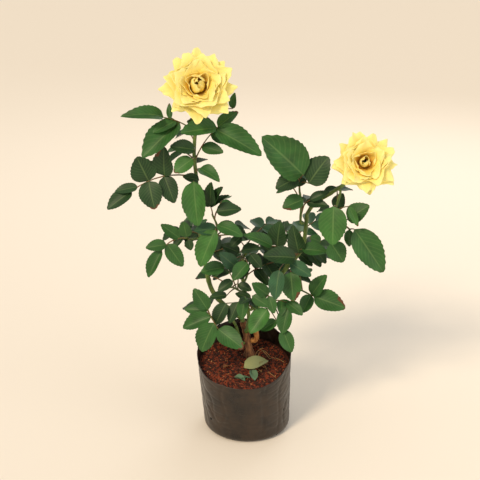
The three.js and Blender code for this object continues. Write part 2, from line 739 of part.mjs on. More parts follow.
// The masses of foliage: where each stem starts, its course, and the leaves that show in front.
const masses = [
  {
    name: 'upper_left_foliage',
    seed: 11,
    stem: [
      ...fromTip(limbs.left_cane),
      ...vectors([[-65, -12, 360], [-67, -12, 387], [-65, -4, 420], [-62, 2, 444]]),
      ...toNeck(blooms.left_rose),
    ],
    radii: [2.5, 2.1],
    leaves: [
      { at: 0.58, foot: [-104, -16, 435], tip: [-137, -39, 455], width: 0.46, roll: 12, droop: 0.6, sides: [
        [0.62, [-116, -26, 420], 0.5],
        [0.8, [-97, -10, 451], 0.4],
        [0.52, [-130, -40, 394], 0.5],
      ] },
      { at: 0.33, foot: [-37, -22, 424], tip: [-13, -13, 443], width: 0.55, sides: [
        [0.93, [16, -44, 397], 0.45],
        [0.97, [-81, -36, 423], 0.5],
        [0.75, [-18, -16, 405], 0.6],
        [0.4, [-31, -26, 395], 0.55],
      ] },
      { at: 0.2, foot: [-145, -24, 343], tip: [-176, -37, 325], width: 0.55, arch: 5, sides: [
        [0.9, [-166, -28, 345], 0.5],
        [0.72, [-117, -38, 324], 0.8],
        [0.72, [-137, -26, 386], 0.95],
        [0.47, [-92, -34, 331], 0.65],
        [0.47, [-105, -26, 398], 0.7],
      ] },
      { at: 0.45, foot: [-66, -24, 396], tip: [-94, -33, 404], width: 0.62 },
      { at: 0.36, foot: [-68, -30, 386], tip: [-91, -40, 373], width: 0.75 },
      { at: 0.24, foot: [-60, -30, 374], tip: [-37, -50, 371], width: 0.6, roll: -20, droop: 0.35 },
      { at: 0.17, foot: [-61, -20, 356], tip: [-80, -26, 363], width: 0.6 },
      { at: 0.1, foot: [-71, -28, 357], tip: [-71, -46, 304], width: 0.52 },
      { at: 0.62, foot: [-44, -14, 426], tip: [-74, -21, 432], width: 0.6 },
      { at: 0.7, foot: [-19, 24, 437], tip: [-17, 24, 457], width: 0.5 },
    ],
    grown: { leaves: 3, from: 0.2, to: 0.5, middle: 130, spread: 60, size: 26, pairs: 1 },
  },
  {
    name: 'middle_left_foliage',
    seed: 23,
    stem: [
      ...fromSide(limbs.left_cane, 0.66, [0.8, -0.6, 0]),
      ...vectors([[-45, -12, 266], [-39, -18, 292], [-45, -20, 311]]),
    ],
    radii: [1.7, 1.2],
    leaves: [
      { at: 0.97, foot: [-47, -26, 324], tip: [-47, -36, 356], width: 0.5, sides: [
        [0.9, [-25, -30, 340], 0.35],
        [0.9, [-60, -26, 346], 0.5],
        [0.97, [-34, -38, 352], 0.45],
      ] },
      { at: 0.88, foot: [-44, -30, 319], tip: [-16, -38, 330], width: 0.6, droop: 0.2 },
      { at: 0.72, foot: [-39, -30, 300], tip: [-8, -45, 297], width: 0.55, droop: 0.3, roll: -15 },
      { at: 0.62, foot: [-39, -30, 295], tip: [-66, -42, 298], width: 0.62 },
      { at: 0.66, foot: [-36, -40, 297], tip: [-55, -55, 252], width: 0.52 },
      { at: 0.5, foot: [-8, -16, 280], tip: [-22, -22, 268], width: 0.7 },
    ],
    grown: { leaves: 2, from: 0.5, to: 0.9, middle: 60, spread: 60, size: 28, pairs: 1 },
  },
  {
    name: 'left_spray_foliage',
    seed: 31,
    stem: [
      ...fromSide(limbs.left_cane, 0.74, [-0.9, -0.3, 0]),
      ...vectors([[-72, -10, 274], [-82, -13, 277]]),
    ],
    radii: [1.5, 1],
    leaves: [
      { at: 0.9, foot: [-110, -22, 263], tip: [-129, -34, 231], width: 0.42, arch: 3, sides: [
        [0.75, [-130, -26, 269], 0.6],
        [0.72, [-83, -28, 243], 0.58],
        [0.2, [-110, -16, 296], 0.5],
      ] },
      { at: 0.8, foot: [-78, -16, 279], tip: [-82, -21, 300], width: 0.75 },
      { at: 0.6, foot: [-76, -16, 275], tip: [-73, -20, 262], width: 0.8 },
    ],
    grown: { leaves: 1, from: 0.3, to: 0.3, middle: 60, spread: 10, size: 24, pairs: 1 },
  },
  {
    name: 'centre_top_foliage',
    seed: 43,
    stem: [...fromTip(limbs.centre_cane), ...vectors([[-2, 18, 245], [0, 8, 262]])],
    radii: [2, 1.3],
    leaves: [
      { at: 0.5, foot: [-8, -14, 259], tip: [14, -23, 270], width: 0.62, droop: 0.3, roll: -20 },
      { at: 0.2, foot: [-14, -20, 246], tip: [-32, -28, 272], width: 0.6 },
      { at: 0.1, foot: [-11, -26, 247], tip: [-33, -38, 231], width: 0.62 },
      { at: 0.3, foot: [-30, -28, 242], tip: [-59, -38, 241], width: 0.62 },
      { at: 0.8, foot: [3, -22, 258], tip: [18, -30, 242], width: 0.6 },
      { at: 0.6, foot: [-15, -4, 254], tip: [-39, -11, 269], width: 0.5 },
    ],
    grown: { leaves: 3, from: 0.3, to: 0.95, middle: 90, spread: 160, size: 32, pairs: 1 },
  },
  {
    name: 'centre_low_foliage',
    seed: 47,
    stem: [
      ...fromSide(limbs.centre_cane, 0.62, [-0.6, -0.8, 0]),
      ...vectors([[-18, 4, 200], [-24, -4, 204]]),
    ],
    radii: [1.5, 1.1],
    leaves: [
      { at: 0.9, foot: [-19, -18, 219], tip: [-39, -24, 208], width: 0.6 },
      { at: 0.8, foot: [-12, -14, 213], tip: [5, -22, 208], width: 0.6 },
      { at: 0.6, foot: [-27, -12, 196], tip: [-49, -18, 197], width: 0.5 },
      { at: 0.4, foot: [-12, -26, 226], tip: [2, -28, 241], width: 0.6 },
    ],
    grown: { leaves: 2, from: 0.5, to: 0.9, middle: 150, spread: 100, size: 28, pairs: 1 },
  },
  {
    name: 'upper_right_foliage',
    seed: 59,
    stem: [
      ...fromSide(limbs.right_cane, 0.96, [-0.95, -0.3, 0]),
      ...vectors([[69, 3, 318], [66, -2, 338], [66, -6, 355]]),
    ],
    radii: [1.8, 1.2],
    leaves: [
      { at: 0.97, foot: [69, -18, 362], tip: [21, -38, 415], width: 0.62 },
      { at: 0.9, foot: [73, -22, 349], tip: [96, -35, 381], width: 0.85 },
      { at: 0.8, foot: [63, -18, 359], tip: [35, -29, 349], width: 0.8 },
      { at: 0.5, foot: [70, -16, 329], tip: [44, -24, 322], width: 0.8 },
      { at: 0.35, foot: [79, -8, 326], tip: [102, -12, 339], width: 0.45, sides: [
        [0.7, [100, -16, 323], 0.5],
      ] },
      { at: 0.85, foot: [74, -8, 353], tip: [61, -11, 346], width: 0.7 },
    ],
    grown: { leaves: 3, from: 0.2, to: 0.8, middle: 110, spread: 100, size: 26, pairs: 1 },
  },
  {
    name: 'right_end_foliage',
    seed: 61,
    stem: [
      ...fromSide(limbs.right_flower_stem, 0.56, [0.3, -0.8, -0.5]),
      ...vectors([[112, -16, 312], [123, -20, 297], [131, -20, 290]]),
    ],
    radii: [1.7, 1.1],
    leaves: [
      { at: 0.98, foot: [135, -26, 293], tip: [173, -45, 242], width: 0.52 },
      { at: 0.4, foot: [107, -34, 326], tip: [105, -51, 281], width: 0.72 },
      { at: 0.6, foot: [126, -24, 305], tip: [150, -31, 327], width: 0.75 },
      { at: 0.5, foot: [121, -40, 327], tip: [131, -49, 303], width: 0.35 },
      { at: 0.3, foot: [114, 2, 311], tip: [121, 0, 332], width: 0.8 },
      { at: 0.85, foot: [129, -22, 291], tip: [129, -28, 270], width: 0.55 },
      { at: 0.75, foot: [106, -24, 274], tip: [122, -35, 252], width: 0.85 },
    ],
    grown: { leaves: 2, from: 0.3, to: 0.8, middle: 130, spread: 60, size: 26, pairs: 1 },
  },
  {
    name: 'centre_right_foliage',
    seed: 73,
    stem: [...fromSide(limbs.right_cane, 0.62, [-0.3, -0.95, 0]), ...vectors([[57, 2, 244], [50, -4, 256]])],
    radii: [1.8, 1.2],
    leaves: [
      { at: 0.98, foot: [31, -20, 268], tip: [5, -36, 293], width: 0.45, droop: 0.4, roll: 20 },
      { at: 0.95, foot: [38, -10, 264], tip: [40, -18, 299], width: 0.72 },
      { at: 0.8, foot: [64, -14, 255], tip: [52, -25, 295], width: 0.5 },
      { at: 0.7, foot: [56, -26, 254], tip: [13, -38, 266], width: 0.52 },
      { at: 0.6, foot: [54, -28, 248], tip: [81, -39, 235], width: 0.55 },
      { at: 0.75, foot: [66, -20, 263], tip: [97, -31, 262], width: 0.55 },
      { at: 0.6, foot: [40, -40, 243], tip: [34, -54, 208], width: 0.52 },
      { at: 0.55, foot: [55, -34, 238], tip: [58, -48, 203], width: 0.68 },
      { at: 0.5, foot: [95, -4, 268], tip: [81, -8, 276], width: 0.8 },
    ],
    grown: { leaves: 2, from: 0.5, to: 0.9, middle: 60, spread: 80, size: 30, pairs: 1 },
  },
  {
    name: 'low_right_foliage',
    seed: 83,
    stem: [
      ...fromSide(limbs.right_cane, 0.36, [0.6, -0.8, 0]),
      ...vectors([[52, 6, 199], [68, -4, 201], [84, -12, 196]]),
    ],
    radii: [1.6, 1],
    leaves: [
      { at: 0.98, foot: [87, -16, 196], tip: [127, -30, 187], width: 0.62, sides: [
        [0.3, [100, -22, 228], 0.55],
        [0.2, [72, -22, 176], 0.7],
      ] },
      { at: 0.5, foot: [63, -16, 204], tip: [47, -20, 215], width: 0.6 },
    ],
    grown: { leaves: 2, from: 0.3, to: 0.8, middle: 90, spread: 60, size: 28, pairs: 1 },
  },
  {
    name: 'low_front_foliage',
    seed: 97,
    stem: [
      ...fromSide(limbs.centre_cane, 0.36, [0.6, -0.8, 0]),
      ...vectors([[12, -4, 178], [22, -10, 188], [34, -16, 188]]),
    ],
    radii: [1.8, 1.2],
    leaves: [
      { at: 0.1, foot: [-3, -30, 201], tip: [-9, -41, 174], width: 0.5 },
      { at: 0.5, foot: [26, -36, 187], tip: [2, -52, 161], width: 0.6 },
      { at: 0.7, foot: [38, -36, 170], tip: [17, -44, 161], width: 0.6 },
      { at: 0.95, foot: [52, -36, 187], tip: [44, -49, 158], width: 0.6, sides: [
        [0.3, [67, -28, 180], 0.5],
      ] },
      { at: 0.98, foot: [46, -40, 159], tip: [57, -53, 133], width: 0.6 },
      { at: 0.3, foot: [-28, -20, 188], tip: [-44, -27, 160], width: 0.6 },
      { at: 0.2, foot: [-12, -20, 190], tip: [-25, -31, 165], width: 0.55 },
      { at: 0.6, foot: [29, -34, 199], tip: [34, -43, 178], width: 0.6 },
      { at: 0.35, foot: [27, -28, 203], tip: [7, -35, 222], width: 0.6 },
      { at: 0.45, foot: [6, -30, 203], tip: [27, -40, 193], width: 0.6 },
    ],
    grown: { leaves: 2, from: 0.5, to: 0.9, middle: 300, spread: 90, size: 28, pairs: 1 },
  },
  {
    name: 'low_left_foliage',
    seed: 101,
    stem: [...fromTip(limbs.green_shoot), ...vectors([[-40, -10, 156], [-49, -13, 167], [-53, -14, 178]])],
    radii: [1.5, 1],
    leaves: [
      { at: 0.98, foot: [-35, -42, 154], tip: [-4, -57, 129], width: 0.58, arch: -4, sides: [
        [0.35, [-87, -30, 161], 0.5],
        [0.65, [-68, -34, 126], 0.62],
        [0.05, [-64, -20, 207], 0.6],
        [0.05, [-83, -18, 183], 0.5],
      ] },
    ],
    grown: { leaves: 1, from: 0.5, to: 0.5, middle: 130, spread: 10, size: 28, pairs: 1 },
  },
  {
    name: 'back_left_foliage',
    seed: 113,
    stem: [...fromSide(limbs.left_cane, 0.6, [-0.1, 1, 0]), ...vectors([[-56, 28, 236], [-58, 40, 262]])],
    radii: [1.7, 1.1],
    leaves: [],
    grown: { leaves: 4, from: 0.45, to: 0.98, middle: 95, spread: 200, size: 34, pairs: 2 },
  },
  {
    name: 'back_centre_foliage',
    seed: 127,
    stem: [...fromSide(limbs.centre_cane, 0.7, [0.1, 1, 0]), ...vectors([[0, 44, 202], [4, 54, 222]])],
    radii: [1.7, 1.1],
    leaves: [],
    grown: { leaves: 4, from: 0.45, to: 0.98, middle: 95, spread: 200, size: 36, pairs: 2 },
  },
  {
    name: 'back_right_foliage',
    seed: 131,
    stem: [...fromSide(limbs.right_cane, 0.5, [0.1, 1, 0]), ...vectors([[58, 44, 232], [62, 56, 258]])],
    radii: [1.7, 1.1],
    leaves: [],
    grown: { leaves: 4, from: 0.45, to: 0.98, middle: 80, spread: 180, size: 36, pairs: 2 },
  },
];

addNode('nursery_bag', bagGeometry(), materials.film);
addNode('growing_medium', soilGeometry(), materials.soil);

for (const [name, limb] of Object.entries(limbs)) {
  const flare = name === 'woody_stem' ? STEM_FLARE : 0;
  addNode(name, tubeOf(limb, LIMB_SIDES, flare), OLD_WOOD.includes(name) ? materials.bark : materials.cane);
  claimLimb(limb, name);
}

for (const [name, bloom] of Object.entries(blooms)) {
  addNode(name, bloomGeometry(bloom), materials.petal);
  claimBloom(bloom, name);
}

for (const mass of masses) {
  mass.stem = growth(mass.stem, ...mass.radii);
  mass.draw = seededDraws(mass.seed);
  mass.pieces = [tubeOf(mass.stem, TWIG_SIDES)];
  claimLimb(mass.stem, mass.name);
}
for (const mass of masses) {
  addLeaves(mass, mass.leaves);
}
for (const mass of masses) {
  growLeaves(mass, mass.grown);
  addNode(mass.name, mainShell(joined(mass.pieces)), materials.leaf);
}

export default group;
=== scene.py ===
# %% [markdown]
# # A yellow rose bush in a black nursery bag
# A young garden rose with two open blooms stands in a soft black bag of growing medium.
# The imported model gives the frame: where the bag, the canes and the masses of foliage are.
# This lesson dresses that frame: film with creases, loose chips, bark, leaves and petals.

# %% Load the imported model
import json
import math

import bmesh
import bpy
import numpy as np
from mathutils import Matrix, Vector, noise

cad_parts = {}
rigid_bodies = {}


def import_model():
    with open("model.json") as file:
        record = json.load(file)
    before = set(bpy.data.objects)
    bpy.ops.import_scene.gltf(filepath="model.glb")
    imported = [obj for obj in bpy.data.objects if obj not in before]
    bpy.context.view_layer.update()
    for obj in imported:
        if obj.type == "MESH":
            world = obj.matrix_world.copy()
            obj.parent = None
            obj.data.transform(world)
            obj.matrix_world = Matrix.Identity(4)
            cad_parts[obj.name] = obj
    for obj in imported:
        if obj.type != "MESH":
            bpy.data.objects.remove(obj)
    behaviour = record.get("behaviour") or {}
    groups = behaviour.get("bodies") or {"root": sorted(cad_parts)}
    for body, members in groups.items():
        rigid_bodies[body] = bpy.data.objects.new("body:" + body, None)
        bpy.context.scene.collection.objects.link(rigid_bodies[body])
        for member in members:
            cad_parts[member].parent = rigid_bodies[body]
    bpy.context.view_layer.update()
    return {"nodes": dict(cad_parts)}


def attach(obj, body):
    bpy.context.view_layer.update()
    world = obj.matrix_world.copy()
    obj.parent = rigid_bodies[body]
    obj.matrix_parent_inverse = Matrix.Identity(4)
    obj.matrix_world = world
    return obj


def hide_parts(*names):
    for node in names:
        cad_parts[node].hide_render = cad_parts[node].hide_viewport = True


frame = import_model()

MM = 0.001
print("The frame has", len(frame["nodes"]), "nodes")

# %% [markdown]
# ## Small helpers
# A colour is written as the hex value that an eye would pick, and Blender wants it linear.
# One function adds a node with its settings and links, so that a node tree reads as a list.

# %% Colours, nodes and meshes
def linear(hex_colour):
    channels = [int(hex_colour[i:i + 2], 16) / 255 for i in (1, 3, 5)]
    return [c / 12.92 if c <= 0.04045 else ((c + 0.055) / 1.055) ** 2.4 for c in channels] + [1.0]


def add_node(tree, kind, inputs=None, **settings):
    made = tree.nodes.new(kind)
    for name, value in settings.items():
        setattr(made, name, value)
    for name, value in (inputs or {}).items():
        if isinstance(value, bpy.types.NodeSocket):
            tree.links.new(value, made.inputs[name])
        else:
            made.inputs[name].default_value = value
    return made


def new_object(name, points, faces, edges=()):
    """A mesh object at the origin, from points in millimetres."""
    mesh = bpy.data.meshes.new(name)
    mesh.from_pydata([tuple(np.asarray(p) * MM) for p in points], list(edges), faces)
    made = bpy.data.objects.new(name, mesh)
    bpy.context.scene.collection.objects.link(made)
    return made


def plain_mesh(piece):
    """Replaces a piece's mesh by what its modifiers make of it, and removes them."""
    bpy.context.view_layer.update()
    evaluated = piece.evaluated_get(bpy.context.evaluated_depsgraph_get())
    result = bpy.data.meshes.new_from_object(evaluated)
    piece.modifiers.clear()
    piece.data = result
    return piece


def smooth(piece):
    piece.data.shade_smooth()
    return piece


def finish_piece(piece, slot, *nodes):
    """Rides a finished piece on the plant and hides the nodes that it stands for. Its slot is not used.
    """
    if nodes:
        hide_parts(*nodes)
    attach(piece, "root")
    triangles = sum(len(p.vertices) - 2 for p in piece.data.polygons)
    print(piece.name, "has", triangles, "triangles")


# %% [markdown]
# ## The finishes
# Each material starts from what the real one is. The bag is blown polythene film: black, thin
# and half glossy, so that every crease catches a line of light. The growing medium is bark and
# coconut chips. The old stem is dry bark, the canes are green and waxy, and leaves are a deep
# green with a satin face. Petals are soft and pass some light, so they never look hard.

# %% A material with its base colour, roughness and bump
def finish(name, colour, roughness, ior=1.45, **more):
    material = bpy.data.materials.new(name)
    material.use_nodes = True
    shader = material.node_tree.nodes["Principled BSDF"]
    shader.inputs["Base Color"].default_value = linear(colour)
    shader.inputs["Roughness"].default_value = roughness
    shader.inputs["IOR"].default_value = ior
    for socket, value in more.items():
        shader.inputs[socket.replace("_", " ")].default_value = value
    return material, material.node_tree, shader


def grain_scale(size_mm):
    """The scale of a noise whose features are that many millimetres across, on metre coordinates."""
    return 1 / (size_mm * MM)


def object_coordinates(tree, stretch=(1, 1, 1)):
    """Object coordinates, squeezed along an axis where a pattern is drawn out along it."""
    place = add_node(tree, "ShaderNodeTexCoord")
    return add_node(tree, "ShaderNodeMapping", {"Vector": place.outputs["Object"], "Scale": stretch})


def grain(tree, vector, size_mm, tones, ends, detail=5, rough=0.6):
    """A noise with features of that size, and the colour that it gives between its two tones."""
    made = add_node(tree, "ShaderNodeTexNoise", {
        "Vector": vector, "Scale": grain_scale(size_mm), "Detail": detail, "Roughness": rough,
    })
    ramp = add_node(tree, "ShaderNodeValToRGB", {"Fac": made.outputs["Fac"]})
    for element, tone, end in zip(ramp.color_ramp.elements, tones, ends):
        element.color = linear(tone)
        element.position = end
    return made.outputs["Fac"], ramp.outputs["Color"]


def press(tree, shader, height, strength, depth_mm, invert=False):
    """Presses a pattern into the surface."""
    bump = add_node(tree, "ShaderNodeBump", {
        "Height": height, "Strength": strength, "Distance": depth_mm * MM,
    }, invert=invert)
    tree.links.new(bump.outputs["Normal"], shader.inputs["Normal"])


# %% Polythene film, blown and crinkled
# Handling leaves fine soft creases, and dust dulls the gloss in patches.
film, tree, shader = finish("black_polythene_film", "#1e150e", 0.32, ior=1.51)
place = object_coordinates(tree).outputs["Vector"]
crinkle, _ = grain(tree, place, 9, ("#000000", "#ffffff"), (0, 1), detail=4)
dust, dust_colour = grain(tree, place, 24, ("#17100a", "#35271a"), (0.38, 0.72), rough=0.65)
dust_roughness = add_node(tree, "ShaderNodeMapRange", {
    "Value": dust, "From Min": 0.3, "From Max": 0.7, "To Min": 0.24, "To Max": 0.46,
})
tree.links.new(dust_colour, shader.inputs["Base Color"])
tree.links.new(dust_roughness.outputs["Result"], shader.inputs["Roughness"])
press(tree, shader, crinkle, 0.35, 0.8)


# %% Growing medium, bark, cut wood and green cane
# The bed under the loose chips is dark and rough, and the chips are red-brown, dark or pale.
# Old bark has grey-brown plates drawn out along the stem. A sawn end is paler and ochre.
STREAKED = (1, 1, 0.3)
EVEN = (1, 1, 1)


def grained(name, tones, ends, roughness, size_mm, strength, depth_mm, stretch=STREAKED, rough=0.6):
    """A surface of two tones whose grain is also pressed in. Streaks run along a nearly upright stem."""
    material, tree, shader = finish(name, tones[0], roughness)
    place = object_coordinates(tree, stretch).outputs["Vector"]
    height, colour = grain(tree, place, size_mm, tones, ends, rough=rough)
    tree.links.new(colour, shader.inputs["Base Color"])
    press(tree, shader, height, strength, depth_mm)
    return material


WOOD_ENDS = (0.35, 0.68)
bed = grained("damp_growing_medium", ("#1c0b07", "#6a3120"), (0, 1), 0.95, 3, 0.8, 1.2, EVEN, 0.7)
bark = grained("rose_bark", ("#4b2f20", "#a5734a"), WOOD_ENDS, 0.85, 3, 0.6, 0.8)
cut_wood = grained("sawn_rose_wood", ("#8a5426", "#c98f4e"), WOOD_ENDS, 0.8, 2, 0.6, 0.3)
green_cane = grained("green_rose_cane", ("#3f5a24", "#71863f"), WOOD_ENDS, 0.5, 6, 0.6, 0.2)
young_stalk = grained("reddish_leaf_stalk", ("#56602c", "#7a4a32"), WOOD_ENDS, 0.5, 12, 0.6, 0.1)
CHIP_FINISHES = {
    name: finish(title, colour, 0.9)[0] for name, title, colour in (
        ("red_chips", "coconut_chips", "#7c3418"),
        ("dark_chips", "damp_bark_chips", "#32150a"),
        ("pale_chips", "dry_fibre_flecks", "#b07a4c"),
    )
}

# %% Leaves
# A rose leaflet has a satin face, a paler midrib and faint sunken side veins. Each leaf is dealt
# one plain green: old leaves are darker and young ones lighter, and the deep green is also painted
# shade for leaves that lie under and behind others. Some tips and edges have dried brown, and those
# faces are dealt their own plain finish.
VEIN_PAIRS = 9
VEIN_SLANT = 0.7
RIB_PALENESS = 0.22
LEAF_TONES = {
    # The deep green is partly the dark of old leaves and partly painted shade for leaves under and
    # behind others.
    "deep_and_shaded": "#1d3d1c",
    "mid": "#2d5a26",
    "light": "#36672a",
    "blue": "#2b5436",
}


def leaf_finish(name, colour):
    material, tree, shader = finish(name, colour, 0.5, ior=1.4)
    uv = add_node(tree, "ShaderNodeUVMap", uv_map="blade")
    parts = add_node(tree, "ShaderNodeSeparateXYZ", {"Vector": uv.outputs["UV"]})
    centred = add_node(tree, "ShaderNodeMath", {0: parts.outputs["X"], 1: 0.5}, operation="SUBTRACT")
    side = add_node(tree, "ShaderNodeMath", {0: centred.outputs[0]}, operation="ABSOLUTE")
    midrib = add_node(tree, "ShaderNodeMapRange", {
        "Value": side.outputs[0], "From Min": 0.008, "From Max": 0.04, "To Min": 1.0, "To Max": 0.0,
    })
    # Side veins leave the midrib at a slant, so their phase mixes both directions.
    slant = add_node(tree, "ShaderNodeMath", {
        0: side.outputs[0], 1: -VEIN_SLANT, 2: parts.outputs["Y"],
    }, operation="MULTIPLY_ADD")
    phase = add_node(tree, "ShaderNodeMath", {
        0: slant.outputs[0], 1: VEIN_PAIRS * 2 * math.pi,
    }, operation="MULTIPLY")
    wave = add_node(tree, "ShaderNodeMath", {0: phase.outputs[0]}, operation="SINE")
    veins = add_node(tree, "ShaderNodeMapRange", {
        "Value": wave.outputs[0], "From Min": 0.6, "From Max": 1.0, "To Min": 0.0, "To Max": 0.35,
    })
    ribs = add_node(tree, "ShaderNodeMath", {
        0: midrib.outputs[0], 1: veins.outputs[0],
    }, operation="MAXIMUM")
    place = add_node(tree, "ShaderNodeTexCoord")
    mottle = add_node(tree, "ShaderNodeTexNoise", {
        "Vector": place.outputs["Object"], "Scale": grain_scale(16), "Detail": 4,
    })
    lightness = add_node(tree, "ShaderNodeMapRange", {
        "Value": mottle.outputs["Fac"], "From Min": 0.3, "From Max": 0.7, "To Min": 0.75, "To Max": 1.25,
    })
    tone = add_node(tree, "ShaderNodeHueSaturation", {
        "Color": linear(colour), "Value": lightness.outputs["Result"],
    })
    weaker = add_node(tree, "ShaderNodeMath", {
        0: ribs.outputs[0], 1: RIB_PALENESS,
    }, operation="MULTIPLY")
    ribbed = add_node(tree, "ShaderNodeMix", {
        "Factor": weaker.outputs[0], 6: tone.outputs["Color"], 7: linear("#8fae68"),
    }, data_type="RGBA")
    tree.links.new(ribbed.outputs[2], shader.inputs["Base Color"])
    press(tree, shader, ribs.outputs[0], 0.15, 0.3, invert=True)
    return material


dry_leaf = finish("dried_leaf_edge", "#5c3a22", 0.75)[0]
leaf_greens = {tone: leaf_finish(tone + "_rose_leaf", colour) for tone, colour in LEAF_TONES.items()}
print("There are", len(leaf_greens), "leaf greens")

# %% Petals
# A petal is creamy at its edge and a deeper gold at its foot. In the heart petals the foot turns
# dark brown, which is painted shade of the deep crevices between them. Some light passes through a
# petal, which subsurface scattering gives.
PETAL_STREAKS = 26


def petal_finish(name, foot, middle, edge):
    material, tree, shader = finish(
        name, middle, 0.55, ior=1.4, Subsurface_Weight=0.25, Subsurface_Scale=3 * MM,
        Subsurface_Radius=(1.0, 0.75, 0.35),
    )
    uv = add_node(tree, "ShaderNodeUVMap", uv_map="blade")
    parts = add_node(tree, "ShaderNodeSeparateXYZ", {"Vector": uv.outputs["UV"]})
    shade = add_node(tree, "ShaderNodeValToRGB", {"Fac": parts.outputs["Y"]})
    shade.color_ramp.elements.new(0.5)
    tones = zip(shade.color_ramp.elements, (foot, middle, edge), (0.2, 0.5, 0.97))
    for element, colour, position in tones:
        element.color = linear(colour)
        element.position = position
    streak_place = add_node(tree, "ShaderNodeMapping", {
        "Vector": uv.outputs["UV"], "Scale": (PETAL_STREAKS, 2, 1),
    })
    streaks = add_node(tree, "ShaderNodeTexNoise", {
        "Vector": streak_place.outputs["Vector"], "Scale": 1.0,
    })
    tree.links.new(shade.outputs["Color"], shader.inputs["Base Color"])
    press(tree, shader, streaks.outputs["Fac"], 0.25, 0.4)
    return material


# The heart petals' dark brown foot is painted shade of the crevices in the heart; the creamy petals'
# deeper gold foot is their own colour.
golden_petal = petal_finish("golden_rose_petal", "#7a4510", "#f0cc56", "#faea94")
creamy_petal = petal_finish("creamy_rose_petal", "#d89a30", "#f8dd6e", "#fcf09c")

# %% [markdown]
# ## The rule that the plant grows by
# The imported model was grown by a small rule, and this lesson grows the same plant again.
# A limb is a smooth curve through a few places. A compound leaf starts at a place on a stem and
# ends at the tip of its end leaflet, with pairs of side leaflets along its stalk. A leaf that
# would touch a limb or enter another mass turns a little, or loses the leaflets that touch.
# Writing the rule again, and not copying points, keeps every leaf inside its own solid.

# %% Vectors, draws and curves
UP = np.array([0.0, 0.0, 1.0])


def unit(vector):
    return vector / np.linalg.norm(vector)


def square_to(vector, axis):
    """The part of a vector that is square to an axis."""
    return vector - axis * np.dot(vector, axis)


def turned(vector, axis, angle):
    """A vector turned round an axis."""
    along = axis * np.dot(axis, vector) * (1 - math.cos(angle))
    return vector * math.cos(angle) + np.cross(axis, vector) * math.sin(angle) + along


def seeded_draws(seed):
    """Draws from 0 to 1, the same on every run."""
    state = seed

    def draw():
        nonlocal state
        state = (state * 1664525 + 1013904223) % 2 ** 32
        return state / 2 ** 32
    return draw


class Limb:
    """A smooth curve through a few places, with its thickness from foot to tip."""
    DIVISIONS = 200
    STEP = 1e-4

    def __init__(self, points, foot_radius, tip_radius):
        self.points = [np.array(p, float) for p in points]
        self.spans = len(points) - 1
        self.foot_radius = foot_radius
        self.tip_radius = tip_radius
        self.times = np.linspace(0, 1, self.DIVISIONS + 1)
        course = np.array([self.at_time(t) for t in self.times])
        steps = np.linalg.norm(np.diff(course, axis=0), axis=1)
        self.lengths = np.concatenate([[0], np.cumsum(steps)])

    def at_time(self, time):
        place = time * self.spans
        span = min(int(place), self.spans - 1)
        part = place - span
        first, second = self.points[span], self.points[span + 1]
        before = self.points[span - 1] if span > 0 else 2 * first - second
        after = self.points[span + 2] if span + 2 <= self.spans else 2 * second - first
        leave, arrive = 0.5 * (second - before), 0.5 * (after - first)
        return (
            first + leave * part
            + (3 * (second - first) - 2 * leave - arrive) * part ** 2
            + (2 * (first - second) + leave + arrive) * part ** 3
        )

    def time_at(self, share):
        return float(np.interp(share * self.lengths[-1], self.lengths, self.times))

    def point_at(self, share):
        return self.at_time(self.time_at(share))

    def tangent_at(self, share):
        time = self.time_at(share)
        ahead, behind = min(1, time + self.STEP), max(0, time - self.STEP)
        return unit(self.at_time(ahead) - self.at_time(behind))

    def radius_at(self, share):
        return self.foot_radius + (self.tip_radius - self.foot_radius) * share


# %% Where a shoot leaves a limb
# It starts just clear of the limb, as the two solids do.
CLEAR = 0.3
FIRST_REACH = 5


def from_side(limb, share, toward):
    start = limb.point_at(share)
    out = unit(square_to(np.array(toward, float), limb.tangent_at(share)))
    reach = limb.radius_at(share) + CLEAR
    return [start + out * reach, start + out * (reach + FIRST_REACH)]


def from_tip(limb):
    tip = limb.point_at(1)
    axis = limb.tangent_at(1)
    return [tip + axis * CLEAR, tip + axis * FIRST_REACH]


# %% The blooms' places
# A bloom's neck is where its stem ends, and its axis is the way that it looks.
BLOOM_DEPTH = 17
NECK_RUN = 9


class Bloom:
    def __init__(self, centre, axis, radius):
        self.axis = unit(np.array(axis))
        self.neck = np.array(centre, float) - self.axis * BLOOM_DEPTH
        self.radius = radius
        self.across = unit(np.cross(UP, self.axis))
        self.upward = np.cross(self.axis, self.across)

    def place(self, radius, angle, height):
        sideways = self.across * math.cos(angle) + self.upward * math.sin(angle)
        return self.neck + self.axis * height + sideways * radius

    def stem_end(self):
        return [self.neck - self.axis * NECK_RUN, self.neck]


blooms = {
    "left_rose": Bloom((-59, -30, 477), (0.03, -0.9, 0.43), 45),
    "right_rose": Bloom((145, -30, 382), (0.12, -0.88, 0.46), 40.5),
}

